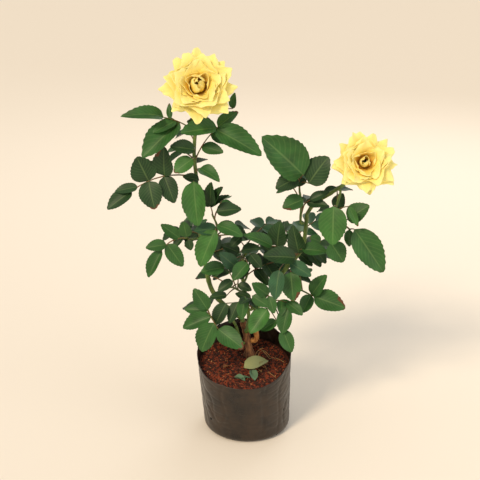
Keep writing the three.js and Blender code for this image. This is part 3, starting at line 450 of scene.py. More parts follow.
# %% The limbs
FOOT = (3, 20, 92.3)
limbs = {}
limbs["woody_stem"] = Limb([FOOT, (3, 20, 97), (1, 21, 110), (-1, 23, 124), (-6, 24, 141)], 5.6, 4.4)
limbs["sawn_stub"] = Limb([
    *from_side(limbs["woody_stem"], 0.44, (1, -0.3, 0)), (13, 18, 121), (11, 17, 134),
], 3.4, 3.6)
limbs["left_cane"] = Limb([
    *from_tip(limbs["woody_stem"]),
    (-20, 21, 158), (-34, 18, 172), (-45, 14, 188), (-52, 8, 211), (-58, 0, 255), (-64, -8, 306),
    (-64, -10, 327),
], 3.4, 2.6)
limbs["right_cane"] = Limb([
    *from_side(limbs["woody_stem"], 0.9, (0.9, 0.5, 0)),
    (20, 30, 171), (51, 28, 216), (70, 22, 244), (75, 18, 262), (77, 10, 297),
], 3.2, 2.6)
limbs["centre_cane"] = Limb([
    *from_side(limbs["woody_stem"], 0.78, (0.2, -0.9, 0)),
    (2, 14, 150), (0, 20, 172), (-6, 26, 201), (-6, 26, 228),
], 2.6, 2.2)
limbs["green_shoot"] = Limb([
    *from_side(limbs["woody_stem"], 0.42, (-0.8, -0.5, 0)), (-15, 10, 141), (-26, 2, 163),
], 2.2, 1.8)
limbs["right_flower_stem"] = Limb([
    *from_tip(limbs["right_cane"]),
    (87, 6, 319), (95, 2, 325), (106, -4, 334), (129, -8, 353), *blooms["right_rose"].stem_end(),
], 2.5, 2.2)
print("There are", len(limbs), "limbs")

# %% [markdown]
# ## Leaflets and the room they need
# Each leaflet is first only a flat plate: a base, a direction, a side that faces the light and a
# size. Plates are quick to test against limbs and other plates, so the whole plant is laid out
# before any mesh is made. NumPy tests one plate against all the limbs at once.

# %% A leaflet's plate
LEAFLET_WIDTH = 0.57
LEAFLET_DROOP = 0.12
LEAFLET_FOLD = 0.22
PLATE_SAMPLES = [
    (0.15, 0), (0.4, 0), (0.65, 0), (0.85, 0), (1, 0),
    (0.25, 1), (0.5, 1), (0.75, 1), (0.25, -1), (0.5, -1), (0.75, -1),
]


class Plate:
    def __init__(self, foot, tip, look, width=LEAFLET_WIDTH, droop=LEAFLET_DROOP):
        self.base = foot
        self.length = np.linalg.norm(tip - foot)
        self.along = unit(tip - foot)
        self.facing = unit(square_to(look, self.along))
        self.across = np.cross(self.along, self.facing)
        self.width = self.length * width
        self.droop = droop
        self.samples = np.array([self.point(t, u) for t, u in PLATE_SAMPLES])
        self.middle = self.point(0.5, 0)

    def half_width(self, share):
        within = np.clip(share, 0, 1)
        return 0.5 * self.width * np.sin(math.pi * within ** 0.9).clip(0) ** 0.9

    def point(self, share, side):
        half = self.half_width(share)
        lift = LEAFLET_FOLD * half * abs(side) - self.droop * self.length * share * share
        return (
            self.base + self.along * self.length * share + self.across * half * side
            + self.facing * lift
        )

    def touched_by(self, centres, reach):
        """Which of the round things, given by centre and reach, touch the plate."""
        offset = centres - self.base
        along = offset @ self.along
        share = np.clip(along / self.length, 0, 1)
        above = offset @ self.facing + self.droop * self.length * share * share
        across = np.abs(offset @ self.across)
        inside = (along >= -reach) & (along <= self.length + reach)
        return inside & (np.abs(above) < reach) & (across < self.half_width(share) + reach)


# %% What already takes up room
LEAF_CLEARANCE = 3
OWN_CLEARANCE = 1.5
LOWEST_LEAF = 110
CLAIMS_PER_SPAN = 6
NEAR_SHARE = 0.6


class Room:
    """Round things along limbs and stalks, and the plates of leaflets, each with its owner."""
    def __init__(self):
        self.owners = []
        self.centres = []
        self.radii = []
        self.plates = []

    def claim(self, owner, centre, radius):
        self.owners.append(owner)
        self.centres.append(centre)
        self.radii.append(radius)

    def claim_limb(self, owner, limb):
        steps = limb.spans * CLAIMS_PER_SPAN
        for i in range(steps + 1):
            self.claim(owner, limb.point_at(i / steps), limb.radius_at(i / steps))

    def others(self, owner):
        """What belongs to anyone else: round things and plates."""
        apart = np.array([name != owner for name in self.owners])
        plates = [plate for plate in self.plates if plate.owner != owner]
        return np.array(self.centres)[apart], np.array(self.radii)[apart], plates


def plates_cross(plate, other, clearance):
    apart = np.linalg.norm(plate.middle - other.middle)
    if apart > NEAR_SHARE * (plate.length + other.length) + clearance:
        return False
    return (
        other.touched_by(plate.samples, clearance).any()
        or plate.touched_by(other.samples, clearance).any()
    )


def plate_is_barred(plate, centres, radii, plates):
    if plate.samples[:, 2].min() < LOWEST_LEAF:
        return True
    reach = radii + LEAF_CLEARANCE
    if plate.touched_by(centres, reach).any():
        return True
    gaps = np.linalg.norm(centres[:, None, :] - plate.samples[None, :, :], axis=2)
    if (gaps < reach[:, None]).any():
        return True
    return any(plates_cross(plate, other, LEAF_CLEARANCE) for other in plates)


def stalk_is_barred(beads, centres, radii, plates):
    for bead in beads:
        gaps = np.linalg.norm(centres - bead, axis=1)
        if (gaps < STALK_RADIUS + radii + LEAF_CLEARANCE).any():
            return True
        if any(plate.touched_by(bead[None, :], STALK_RADIUS + LEAF_CLEARANCE).any() for plate in plates):
            return True
    return False


# %% One leaf: its stalk, its end leaflet and its side leaflets
STALK_RADIUS = 1.1
STALK_BOW = 0.06
BEADS = 8
FIRST_BEAD = 2
SUN_SIDE = unit(np.array([-0.2, -0.75, 0.65]))


class Stalk:
    """A leaf's stalk: a bow from the stem to the foot of the end leaflet."""
    def __init__(self, base, bend, end):
        self.base, self.bend, self.end = base, bend, end

    def point(self, share):
        rest = 1 - share
        return self.base * rest ** 2 + self.bend * 2 * rest * share + self.end * share ** 2

    def tangent(self, share):
        return unit((self.bend - self.base) * (1 - share) + (self.end - self.bend) * share)

    def beads(self):
        return [self.point(i / BEADS) for i in range(FIRST_BEAD, BEADS + 1)]


def leaf_from(base, leaf, look):
    """The stalk and the plates of a leaf whose feet and tips are known."""
    foot, tip = leaf["foot"], leaf["tip"]
    run = foot - base
    lift = unit(square_to(UP, unit(run)))
    bow = 2 * (leaf.get("arch", 0) + STALK_BOW * np.linalg.norm(run))
    stalk = Stalk(base, (base + foot) / 2 + lift * bow, foot)
    end_look = turned(look, unit(tip - foot), math.radians(leaf.get("roll", 0)))
    shape = {key: leaf[key] for key in ("width", "droop") if key in leaf}
    plates = [Plate(foot, tip, end_look, **shape)]
    for share, side_tip, width in leaf.get("sides", []):
        plates.append(Plate(stalk.point(share), side_tip, look, width))
    return stalk, plates


# %% Pairs of side leaflets by rule
# They are smaller and smaller down the stalk, and each droops a little by its own draw.
SIDE_ANGLE = math.radians(64)
SIDE_SPREAD = 0.35
SIDE_DROOP = (0.12, 0.32)
SIDE_LENGTH = (0.92, 1.08)
SIDE_SHRINK = 0.86
GROWN_SHRINK = 0.85
END_STALKLET = 0.28
PAIR_SPACING = 0.42


def drawn(span, draw):
    return span[0] + (span[1] - span[0]) * draw()


def add_pairs(stalk, plates, pairs, look, draw):
    run = np.linalg.norm(stalk.end - stalk.base)
    size = plates[0].length
    for pair in range(pairs):
        back = size * (END_STALKLET + PAIR_SPACING * pair)
        if back >= run - STALK_RADIUS:
            break
        foot = stalk.point(1 - back / run)
        forward = stalk.tangent(1 - back / run)
        facing = unit(square_to(look, forward))
        across = np.cross(forward, facing)
        for hand in (1, -1):
            angle = SIDE_ANGLE + (draw() - 0.5) * SIDE_SPREAD
            droop = drawn(SIDE_DROOP, draw)
            length = size * GROWN_SHRINK * SIDE_SHRINK ** pair * drawn(SIDE_LENGTH, draw)
            sideways = across * hand * math.sin(angle) - facing * droop
            along = unit(forward * math.cos(angle) + sideways)
            plates.append(Plate(foot, foot + along * length, look))


# %% Placing a leaf where it has room
# A leaf turns a little if it must. Leaflets that would still touch something are left out.
LEAF_TURNS = [(tilt, turn) for tilt in (0, 9, -9, 18, -18) for turn in (0, 12, -12)]
MOST_SEED = 1e6
room = Room()
sprays = []


def aimed_leaf(base, leaf, hinge, tilt, turn):
    """The same leaf, tilted and turned about its place on the stem."""
    def aim(point):
        tilted = turned(np.array(point, float) - base, hinge, math.radians(tilt))
        return turned(tilted, UP, math.radians(turn)) + base
    sides = [(share, aim(tip), width) for share, tip, width in leaf.get("sides", [])]
    return {**leaf, "foot": aim(leaf["foot"]), "tip": aim(leaf["tip"]), "sides": sides}


def place_leaf(mass, base, leaf, look, keep_crossing):
    hinge = unit(np.cross(np.array(leaf["tip"], float) - base, UP))
    seed = math.floor(mass["draw"]() * MOST_SEED)
    centres, radii, foreign = room.others(mass["name"])
    own = [plate for plate in room.plates if plate.owner == mass["name"]]
    best = None
    for tilt, turn in LEAF_TURNS:
        stalk, plates = leaf_from(base, aimed_leaf(base, leaf, hinge, tilt, turn), look)
        add_pairs(stalk, plates, leaf.get("pairs", 0), look, seeded_draws(seed))
        if stalk_is_barred(stalk.beads(), centres, radii, foreign):
            continue
        free = [plate for plate in plates if not plate_is_barred(plate, centres, radii, foreign)]
        crossing = [p for p in free if any(plates_cross(p, other, OWN_CLEARANCE) for other in own)]
        kept = free if keep_crossing else [p for p in free if p not in crossing]
        faults = 3 * (len(plates) - len(kept)) + len(crossing)
        if kept and (best is None or faults < best[0]):
            best = (faults, stalk, kept)
        if faults == 0:
            break
    if best is None:
        return
    _, stalk, kept = best
    for bead in stalk.beads():
        room.claim(mass["name"], bead, STALK_RADIUS)
    for plate in kept:
        plate.owner = mass["name"]
        room.plates.append(plate)
    sprays.append({"mass": mass["name"], "stalk": stalk, "plates": kept, "tone": leaf["tone"]})


# %% Leaves that the front ones hide
# They turn round the stem by the golden angle, within the sector that the mass keeps to.
GOLDEN_TURN = 0.618034
GROWN_STALK = 1.1
GROWN_LIFT = 0.3
GROWN_RISE = (-0.2, 0.4)
GROWN_LENGTH = (0.85, 1.15)
GROWN_TONES = ("deep_and_shaded", "mid", "blue")
SKYWARD = 0.6
OUTWARD = 0.25


def grow_leaves(mass, leaves, start, stop, middle, spread, size, pairs):
    draw = mass["draw"]
    for i in range(leaves):
        base = mass["stem"].point_at(start + (stop - start) * i / max(leaves - 1, 1))
        bearing = math.radians(middle + spread * ((i * GOLDEN_TURN) % 1 - 0.5))
        rise = drawn(GROWN_RISE, draw)
        length = size * drawn(GROWN_LENGTH, draw)
        outward = np.array([math.cos(bearing), math.sin(bearing), 0])
        heading = outward * math.cos(rise) + UP * math.sin(rise)
        foot = base + heading * length * GROWN_STALK + UP * length * GROWN_LIFT
        tip = base + heading * length * (GROWN_STALK + 1)
        look = unit(SUN_SIDE + UP * SKYWARD + outward * OUTWARD)
        tone = GROWN_TONES[i % len(GROWN_TONES)]
        place_leaf(mass, base, {"foot": foot, "tip": tip, "pairs": pairs, "tone": tone}, look, False)


# %% [markdown]
# ## The masses of foliage
# Each mass has one stem that carries on from a limb. The leaves that show are given by where
# their tips are, and the rest follow the golden angle behind them.

# %% The masses on the left
masses = []


def add_mass(name, seed, stem, radii, leaves, grown):
    masses.append({
        "name": name, "stem": Limb(stem, *radii), "leaves": leaves, "grown": grown,
        "draw": seeded_draws(seed),
    })


def row(at, foot, tip, tone, **more):
    """A leaf that shows: its place on the stem, and the foot and tip of its end leaflet."""
    return dict(at=at, foot=foot, tip=tip, tone=tone, **more)


add_mass("upper_left_foliage", 11, [
    *from_tip(limbs["left_cane"]),
    (-65, -12, 360), (-67, -12, 387), (-65, -4, 420), (-62, 2, 444), *blooms["left_rose"].stem_end(),
], (2.5, 2.1), [
    row(0.58, (-104, -16, 435), (-137, -39, 455), "mid", width=0.46, roll=12, droop=0.6, sides=[
        (0.62, (-116, -26, 420), 0.5), (0.8, (-97, -10, 451), 0.4), (0.52, (-130, -40, 394), 0.5),
    ]),
    row(0.33, (-37, -22, 424), (-13, -13, 443), "mid", width=0.55, sides=[
        (0.93, (16, -44, 397), 0.45), (0.97, (-81, -36, 423), 0.5), (0.75, (-18, -16, 405), 0.6),
        (0.4, (-31, -26, 395), 0.55),
    ]),
    row(0.2, (-145, -24, 343), (-176, -37, 325), "deep_and_shaded", width=0.55, arch=5, sides=[
        (0.9, (-166, -28, 345), 0.5), (0.72, (-117, -38, 324), 0.8), (0.72, (-137, -26, 386), 0.95),
        (0.47, (-92, -34, 331), 0.65), (0.47, (-105, -26, 398), 0.7),
    ]),
    row(0.45, (-66, -24, 396), (-94, -33, 404), "deep_and_shaded", width=0.62),
    row(0.36, (-68, -30, 386), (-91, -40, 373), "light", width=0.75),
    row(0.24, (-60, -30, 374), (-37, -50, 371), "mid", width=0.6, roll=-20, droop=0.35),
    row(0.17, (-61, -20, 356), (-80, -26, 363), "deep_and_shaded", width=0.6),
    row(0.1, (-71, -28, 357), (-71, -46, 304), "light", width=0.52),
    row(0.62, (-44, -14, 426), (-74, -21, 432), "deep_and_shaded", width=0.6),
    row(0.7, (-19, 24, 437), (-17, 24, 457), "mid", width=0.5),
], dict(leaves=3, start=0.2, stop=0.5, middle=130, spread=60, size=26, pairs=1))
add_mass("middle_left_foliage", 23, [
    *from_side(limbs["left_cane"], 0.66, (0.8, -0.6, 0)),
    (-45, -12, 266), (-39, -18, 292), (-45, -20, 311),
], (1.7, 1.2), [
    row(0.97, (-47, -26, 324), (-47, -36, 356), "deep_and_shaded", width=0.5, sides=[
        (0.9, (-25, -30, 340), 0.35), (0.9, (-60, -26, 346), 0.5), (0.97, (-34, -38, 352), 0.45),
    ]),
    row(0.88, (-44, -30, 319), (-16, -38, 330), "deep_and_shaded", width=0.6, droop=0.2),
    row(0.72, (-39, -30, 300), (-8, -45, 297), "mid", width=0.55, droop=0.3, roll=-15),
    row(0.62, (-39, -30, 295), (-66, -42, 298), "blue", width=0.62),
    row(0.66, (-36, -40, 297), (-55, -55, 252), "light", width=0.52),
    row(0.5, (-8, -16, 280), (-22, -22, 268), "deep_and_shaded", width=0.7),
], dict(leaves=2, start=0.5, stop=0.9, middle=60, spread=60, size=28, pairs=1))
add_mass("left_spray_foliage", 31, [
    *from_side(limbs["left_cane"], 0.74, (-0.9, -0.3, 0)),
    (-72, -10, 274), (-82, -13, 277),
], (1.5, 1), [
    row(0.9, (-110, -22, 263), (-129, -34, 231), "mid", width=0.42, arch=3, sides=[
        (0.75, (-130, -26, 269), 0.6), (0.72, (-83, -28, 243), 0.58), (0.2, (-110, -16, 296), 0.5),
    ]),
    row(0.8, (-78, -16, 279), (-82, -21, 300), "mid", width=0.75),
    row(0.6, (-76, -16, 275), (-73, -20, 262), "deep_and_shaded", width=0.8),
], dict(leaves=1, start=0.3, stop=0.3, middle=60, spread=10, size=24, pairs=1))

# %% The masses in the middle
add_mass("centre_top_foliage", 43, [
    *from_tip(limbs["centre_cane"]),
    (-2, 18, 245), (0, 8, 262),
], (2, 1.3), [
    row(0.5, (-8, -14, 259), (14, -23, 270), "deep_and_shaded", width=0.62, droop=0.3, roll=-20),
    row(0.2, (-14, -20, 246), (-32, -28, 272), "blue", width=0.6),
    row(0.1, (-11, -26, 247), (-33, -38, 231), "mid", width=0.62),
    row(0.3, (-30, -28, 242), (-59, -38, 241), "mid", width=0.62),
    row(0.8, (3, -22, 258), (18, -30, 242), "deep_and_shaded", width=0.6),
    row(0.6, (-15, -4, 254), (-39, -11, 269), "deep_and_shaded", width=0.5),
], dict(leaves=3, start=0.3, stop=0.95, middle=90, spread=160, size=32, pairs=1))
add_mass("centre_low_foliage", 47, [
    *from_side(limbs["centre_cane"], 0.62, (-0.6, -0.8, 0)),
    (-18, 4, 200), (-24, -4, 204),
], (1.5, 1.1), [
    row(0.9, (-19, -18, 219), (-39, -24, 208), "deep_and_shaded", width=0.6),
    row(0.8, (-12, -14, 213), (5, -22, 208), "deep_and_shaded", width=0.6),
    row(0.6, (-27, -12, 196), (-49, -18, 197), "deep_and_shaded", width=0.5),
    row(0.4, (-12, -26, 226), (2, -28, 241), "deep_and_shaded", width=0.6),
], dict(leaves=2, start=0.5, stop=0.9, middle=150, spread=100, size=28, pairs=1))

# %% The masses on the right
add_mass("upper_right_foliage", 59, [
    *from_side(limbs["right_cane"], 0.96, (-0.95, -0.3, 0)),
    (69, 3, 318), (66, -2, 338), (66, -6, 355),
], (1.8, 1.2), [
    row(0.97, (69, -18, 362), (21, -38, 415), "mid", width=0.62),
    row(0.9, (73, -22, 349), (96, -35, 381), "deep_and_shaded", width=0.85),
    row(0.8, (63, -18, 359), (35, -29, 349), "deep_and_shaded", width=0.8),
    row(0.5, (70, -16, 329), (44, -24, 322), "mid", width=0.8),
    row(0.35, (79, -8, 326), (102, -12, 339), "deep_and_shaded", width=0.45, sides=[
        (0.7, (100, -16, 323), 0.5),
    ]),
    row(0.85, (74, -8, 353), (61, -11, 346), "deep_and_shaded", width=0.7),
], dict(leaves=3, start=0.2, stop=0.8, middle=110, spread=100, size=26, pairs=1))
add_mass("right_end_foliage", 61, [
    *from_side(limbs["right_flower_stem"], 0.56, (0.3, -0.8, -0.5)),
    (112, -16, 312), (123, -20, 297), (131, -20, 290),
], (1.7, 1.1), [
    row(0.98, (135, -26, 293), (173, -45, 242), "mid", width=0.52),
    row(0.4, (107, -34, 326), (105, -51, 281), "light", width=0.72),
    row(0.6, (126, -24, 305), (150, -31, 327), "mid", width=0.75),
    row(0.5, (121, -40, 327), (131, -49, 303), "light", width=0.35),
    row(0.3, (114, 2, 311), (121, 0, 332), "deep_and_shaded", width=0.8),
    row(0.85, (129, -22, 291), (129, -28, 270), "mid", width=0.55),
    row(0.75, (106, -24, 274), (122, -35, 252), "mid", width=0.85),
], dict(leaves=2, start=0.3, stop=0.8, middle=130, spread=60, size=26, pairs=1))
add_mass("centre_right_foliage", 73, [
    *from_side(limbs["right_cane"], 0.62, (-0.3, -0.95, 0)),
    (57, 2, 244), (50, -4, 256),
], (1.8, 1.2), [
    row(0.98, (31, -20, 268), (5, -36, 293), "mid", width=0.45, droop=0.4, roll=20),
    row(0.95, (38, -10, 264), (40, -18, 299), "deep_and_shaded", width=0.72),
    row(0.8, (64, -14, 255), (52, -25, 295), "deep_and_shaded", width=0.5),
    row(0.7, (56, -26, 254), (13, -38, 266), "deep_and_shaded", width=0.52),
    row(0.6, (54, -28, 248), (81, -39, 235), "blue", width=0.55),
    row(0.75, (66, -20, 263), (97, -31, 262), "mid", width=0.55),
    row(0.6, (40, -40, 243), (34, -54, 208), "blue", width=0.52),
    row(0.55, (55, -34, 238), (58, -48, 203), "mid", width=0.68),
    row(0.5, (95, -4, 268), (81, -8, 276), "mid", width=0.8),
], dict(leaves=2, start=0.5, stop=0.9, middle=60, spread=80, size=30, pairs=1))
add_mass("low_right_foliage", 83, [
    *from_side(limbs["right_cane"], 0.36, (0.6, -0.8, 0)),
    (52, 6, 199), (68, -4, 201), (84, -12, 196),
], (1.6, 1), [
    row(0.98, (87, -16, 196), (127, -30, 187), "mid", width=0.62, sides=[
        (0.3, (100, -22, 228), 0.55), (0.2, (72, -22, 176), 0.7),
    ]),
    row(0.5, (63, -16, 204), (47, -20, 215), "deep_and_shaded", width=0.6),
], dict(leaves=2, start=0.3, stop=0.8, middle=90, spread=60, size=28, pairs=1))

# %% The low masses in front
add_mass("low_front_foliage", 97, [
    *from_side(limbs["centre_cane"], 0.36, (0.6, -0.8, 0)),
    (12, -4, 178), (22, -10, 188), (34, -16, 188),
], (1.8, 1.2), [
    row(0.1, (-3, -30, 201), (-9, -41, 174), "mid", width=0.5),
    row(0.5, (26, -36, 187), (2, -52, 161), "light", width=0.6),
    row(0.7, (38, -36, 170), (17, -44, 161), "light", width=0.6),
    row(0.95, (52, -36, 187), (44, -49, 158), "mid", width=0.6, sides=[
        (0.3, (67, -28, 180), 0.5),
    ]),
    row(0.98, (46, -40, 159), (57, -53, 133), "mid", width=0.6),
    row(0.3, (-28, -20, 188), (-44, -27, 160), "deep_and_shaded", width=0.6),
    row(0.2, (-12, -20, 190), (-25, -31, 165), "deep_and_shaded", width=0.55),
    row(0.6, (29, -34, 199), (34, -43, 178), "mid", width=0.6),
    row(0.35, (27, -28, 203), (7, -35, 222), "mid", width=0.6),
    row(0.45, (6, -30, 203), (27, -40, 193), "mid", width=0.6),
], dict(leaves=2, start=0.5, stop=0.9, middle=300, spread=90, size=28, pairs=1))
add_mass("low_left_foliage", 101, [
    *from_tip(limbs["green_shoot"]),
    (-40, -10, 156), (-49, -13, 167), (-53, -14, 178),
], (1.5, 1), [
    row(0.98, (-35, -42, 154), (-4, -57, 129), "mid", width=0.58, arch=-4, sides=[
        (0.35, (-87, -30, 161), 0.5), (0.65, (-68, -34, 126), 0.62), (0.05, (-64, -20, 207), 0.6),
        (0.05, (-83, -18, 183), 0.5),
    ]),
], dict(leaves=1, start=0.5, stop=0.5, middle=130, spread=10, size=28, pairs=1))

# %% The masses behind
add_mass("back_left_foliage", 113, [
    *from_side(limbs["left_cane"], 0.6, (-0.1, 1, 0)),
    (-56, 28, 236), (-58, 40, 262),
], (1.7, 1.1), [], dict(leaves=4, start=0.45, stop=0.98, middle=95, spread=200, size=34, pairs=2))
add_mass("back_centre_foliage", 127, [
    *from_side(limbs["centre_cane"], 0.7, (0.1, 1, 0)),
    (0, 44, 202), (4, 54, 222),
], (1.7, 1.1), [], dict(leaves=4, start=0.45, stop=0.98, middle=95, spread=200, size=36, pairs=2))
add_mass("back_right_foliage", 131, [
    *from_side(limbs["right_cane"], 0.5, (0.1, 1, 0)),
    (58, 44, 232), (62, 56, 258),
], (1.7, 1.1), [], dict(leaves=4, start=0.45, stop=0.98, middle=80, spread=180, size=36, pairs=2))

# %% Grow every leaf in the source's order
# A bloom's room is a ring of round things and one more for its heart, as shares of its radius.
BLOOM_RING = 10
RING_PLACE = 0.72
RING_THICKNESS = 0.28
HEART_SIZE = 0.5
for name, limb in limbs.items():
    room.claim_limb(name, limb)
for name, bloom in blooms.items():
    for i in range(BLOOM_RING):
        rim = bloom.place(bloom.radius * RING_PLACE, 2 * math.pi * i / BLOOM_RING, BLOOM_DEPTH)
        room.claim(name, rim, bloom.radius * RING_THICKNESS)
    room.claim(name, bloom.place(0, 0, BLOOM_DEPTH), bloom.radius * HEART_SIZE)
for mass in masses:
    room.claim_limb(mass["name"], mass["stem"])
for mass in masses:
    for leaf in mass["leaves"]:
        place_leaf(mass, mass["stem"].point_at(leaf["at"]), leaf, SUN_SIDE, True)
for mass in masses:
    grow_leaves(mass, **mass["grown"])
print("The plant has", len(sprays), "leaves with", len(room.plates), "leaflets")

# %% [markdown]
# ## Stems, canes and leaf stalks
# Every stem follows a path, so Geometry Nodes make them: a line of points with a thickness
# becomes a curve, and a round profile runs along it. The bark's relief is noise along the
# normals. One tree serves the old stem, the canes and the thin leaf stalks, with other sizes.

# %% The tree that makes stems
def group_input(tree, name, kind, default=None):
    made = tree.interface.new_socket(name=name, in_out="INPUT", socket_type="NodeSocket" + kind)
    if default is not None:
        made.default_value = default
    return made


stem_tree = bpy.data.node_groups.new("stems_along_lines", "GeometryNodeTree")
for socket in (
    ("Lines", "Geometry"), ("Sides", "Int", 8), ("Relief", "Float", 0.0),
    ("Grain", "Float", 100.0), ("Finish", "Material"),
):
    group_input(stem_tree, *socket)
stem_tree.interface.new_socket(name="Stems", in_out="OUTPUT", socket_type="NodeSocketGeometry")
sizes = add_node(stem_tree, "NodeGroupInput")
curves = add_node(stem_tree, "GeometryNodeMeshToCurve", {"Mesh": sizes.outputs["Lines"]})
thickness = add_node(stem_tree, "GeometryNodeInputNamedAttribute", {
    "Name": "thickness",
}, data_type="FLOAT")
profile = add_node(stem_tree, "GeometryNodeCurvePrimitiveCircle", {
    "Resolution": sizes.outputs["Sides"], "Radius": 1.0,
}, mode="RADIUS")
tubes = add_node(stem_tree, "GeometryNodeCurveToMesh", {
    "Curve": curves.outputs["Curve"], "Profile Curve": profile.outputs["Curve"],
    "Scale": thickness.outputs["Attribute"], "Fill Caps": True,
})
place = add_node(stem_tree, "GeometryNodeInputPosition")
squeezed = add_node(stem_tree, "ShaderNodeVectorMath", {
    0: place.outputs["Position"], 1: (1.0, 1.0, 0.35),
}, operation="MULTIPLY")
rough = add_node(stem_tree, "ShaderNodeTexNoise", {
    "Vector": squeezed.outputs["Vector"], "Scale": sizes.outputs["Grain"], "Detail": 4.0,
})
centred = add_node(stem_tree, "ShaderNodeMath", {0: rough.outputs["Fac"], 1: 0.5}, operation="SUBTRACT")
depth = add_node(stem_tree, "ShaderNodeMath", {
    0: centred.outputs[0], 1: sizes.outputs["Relief"],
}, operation="MULTIPLY")
outward = add_node(stem_tree, "GeometryNodeInputNormal")
shift = add_node(stem_tree, "ShaderNodeVectorMath", {
    0: outward.outputs["Normal"], "Scale": depth.outputs[0],
}, operation="SCALE")
barked = add_node(stem_tree, "GeometryNodeSetPosition", {
    "Geometry": tubes.outputs["Mesh"], "Offset": shift.outputs["Vector"],
})
soft = add_node(stem_tree, "GeometryNodeSetShadeSmooth", {"Geometry": barked.outputs["Geometry"]})
real = add_node(stem_tree, "GeometryNodeRealizeInstances", {"Geometry": soft.outputs["Geometry"]})
coated = add_node(stem_tree, "GeometryNodeSetMaterial", {
    "Geometry": real.outputs["Geometry"], "Material": sizes.outputs["Finish"],
})
add_node(stem_tree, "NodeGroupOutput", {"Stems": coated.outputs["Geometry"]})


def run_tree(piece, tree, **inputs):
    """Gives a piece's mesh to a tree, with its named inputs, and keeps the plain result."""
    modifier = piece.modifiers.new(tree.name, "NODES")
    modifier.node_group = tree
    for item in tree.interface.items_tree:
        if item.item_type == "SOCKET" and item.in_out == "INPUT" and item.name in inputs:
            modifier[item.identifier] = inputs[item.name]
    return plain_mesh(piece)


def stems(name, courses, **sizes):
    """Stems along courses, each a list of (point, radius) in millimetres."""
    points = []
    edges = []
    radii = []
    for course in courses:
        first = len(points)
        points += [point for point, _ in course]
        radii += [radius * MM for _, radius in course]
        edges += [(i, i + 1) for i in range(first, len(points) - 1)]
    piece = new_object(name, points, [], edges)
    piece.data.attributes.new("thickness", "FLOAT", "POINT").data.foreach_set("value", radii)
    return run_tree(piece, stem_tree, **sizes)


# %% The old stem and the canes
# The old stem flares where it meets the growing medium. Canes swell a little at each bud.
FLARE_HEIGHT = 14
FLARE = 0.55
BUD_SPACING = 34
BUD_SWELL = 0.16


def limb_course(limb, step=2.5, flare=0.0, buds=BUD_SWELL):
    length = limb.lengths[-1]
    stations = max(int(length / step), 4)
    course = []
    for i in range(stations + 1):
        share = i / stations
        point = limb.point_at(share)
        away = np.linalg.norm(point - limb.point_at(0))
        radius = limb.radius_at(share) * (1 + flare * max(0, 1 - away / FLARE_HEIGHT) ** 2)
        bud = math.exp(-((((share * length) % BUD_SPACING) - BUD_SPACING / 2) / 2.5) ** 2)
        course.append((point, radius * (1 + buds * bud)))
    return course


old_stem = stems(
    "old_stem", [limb_course(limbs["woody_stem"], 1.2, FLARE, 0)],
    Sides=28, Relief=1.6 * MM, Grain=grain_scale(4), Finish=bark,
)
finish_piece(old_stem, "bark", "woody_stem")
sawn_stub = stems(
    "sawn_off_stub", [limb_course(limbs["sawn_stub"], 1.2, 0, 0)],
    Sides=20, Relief=0.9 * MM, Grain=grain_scale(4), Finish=cut_wood,
)
finish_piece(sawn_stub, "bark", "sawn_stub")
CANES = ["left_cane", "right_cane", "centre_cane", "green_shoot", "right_flower_stem"]
canes = stems(
    "green_canes", [limb_course(limbs[name]) for name in CANES],
    Sides=14, Relief=0.35 * MM, Grain=grain_scale(7), Finish=green_cane,
)
finish_piece(canes, "cane", *CANES)

# %% The stems inside the foliage and the leaf stalks
STALK_STEPS = 8
stem_courses = [limb_course(mass["stem"], 3.5) for mass in masses]
stalk_courses = []
for spray in sprays:
    stalk = spray["stalk"]
    stalk_courses.append([
        (stalk.point(i / STALK_STEPS), 1.05 - 0.4 * i / STALK_STEPS) for i in range(STALK_STEPS + 1)
    ])
foliage_stems = stems(
    "foliage_stems", stem_courses, Sides=10, Relief=0.25 * MM, Grain=grain_scale(7), Finish=green_cane,
)
finish_piece(foliage_stems, "foliage", *[mass["name"] for mass in masses])
leaf_stalks = stems(
    "leaf_stalks", stalk_courses, Sides=6, Relief=0.0, Grain=grain_scale(7), Finish=young_stalk,
)
finish_piece(leaf_stalks, "foliage")

# %% The midribs under the blades
# Under each leaflet its stalk runs on as a raised midrib, thinner and thinner to the tip.
MIDRIB_STEPS = 5
MIDRIB_REACH = 0.9
midrib_courses = []
for plate in room.plates:
    course = []
    for i in range(MIDRIB_STEPS + 1):
        share = MIDRIB_REACH * i / MIDRIB_STEPS
        course.append((plate.point(share, 0) - plate.facing * 0.45, 0.5 - 0.4 * share))
    midrib_courses.append(course)
midribs = stems(
    "leaf_midribs", midrib_courses, Sides=5, Relief=0.0, Grain=grain_scale(7), Finish=young_stalk,
)
finish_piece(midribs, "foliage")

# %% [markdown]
# ## Leaflets
# A rose leaflet is an oval with a round foot, a pointed tip and small teeth along its edge. Its
# halves fold up along the midrib and it droops to the tip. A few shapes, each of a few dozen
# faces, are enough: Geometry Nodes set one on every plate, turned and sized as the plate says,
# and deal each leaf its green.

# %% Leaflet shapes
LEAFLET_STEPS = 20
TOOTH = 0.022
TOOTH_LEAN = 0.4
LEAFLET_SIDES = (-1, -0.55, 0, 0.55, 1)


def blade_outline(share):
    """The half width of a blade at a share of its length, 0.5 at its widest."""
    return 0.5 * (share ** 0.55 * (1 - share) ** 0.78) / 0.4216


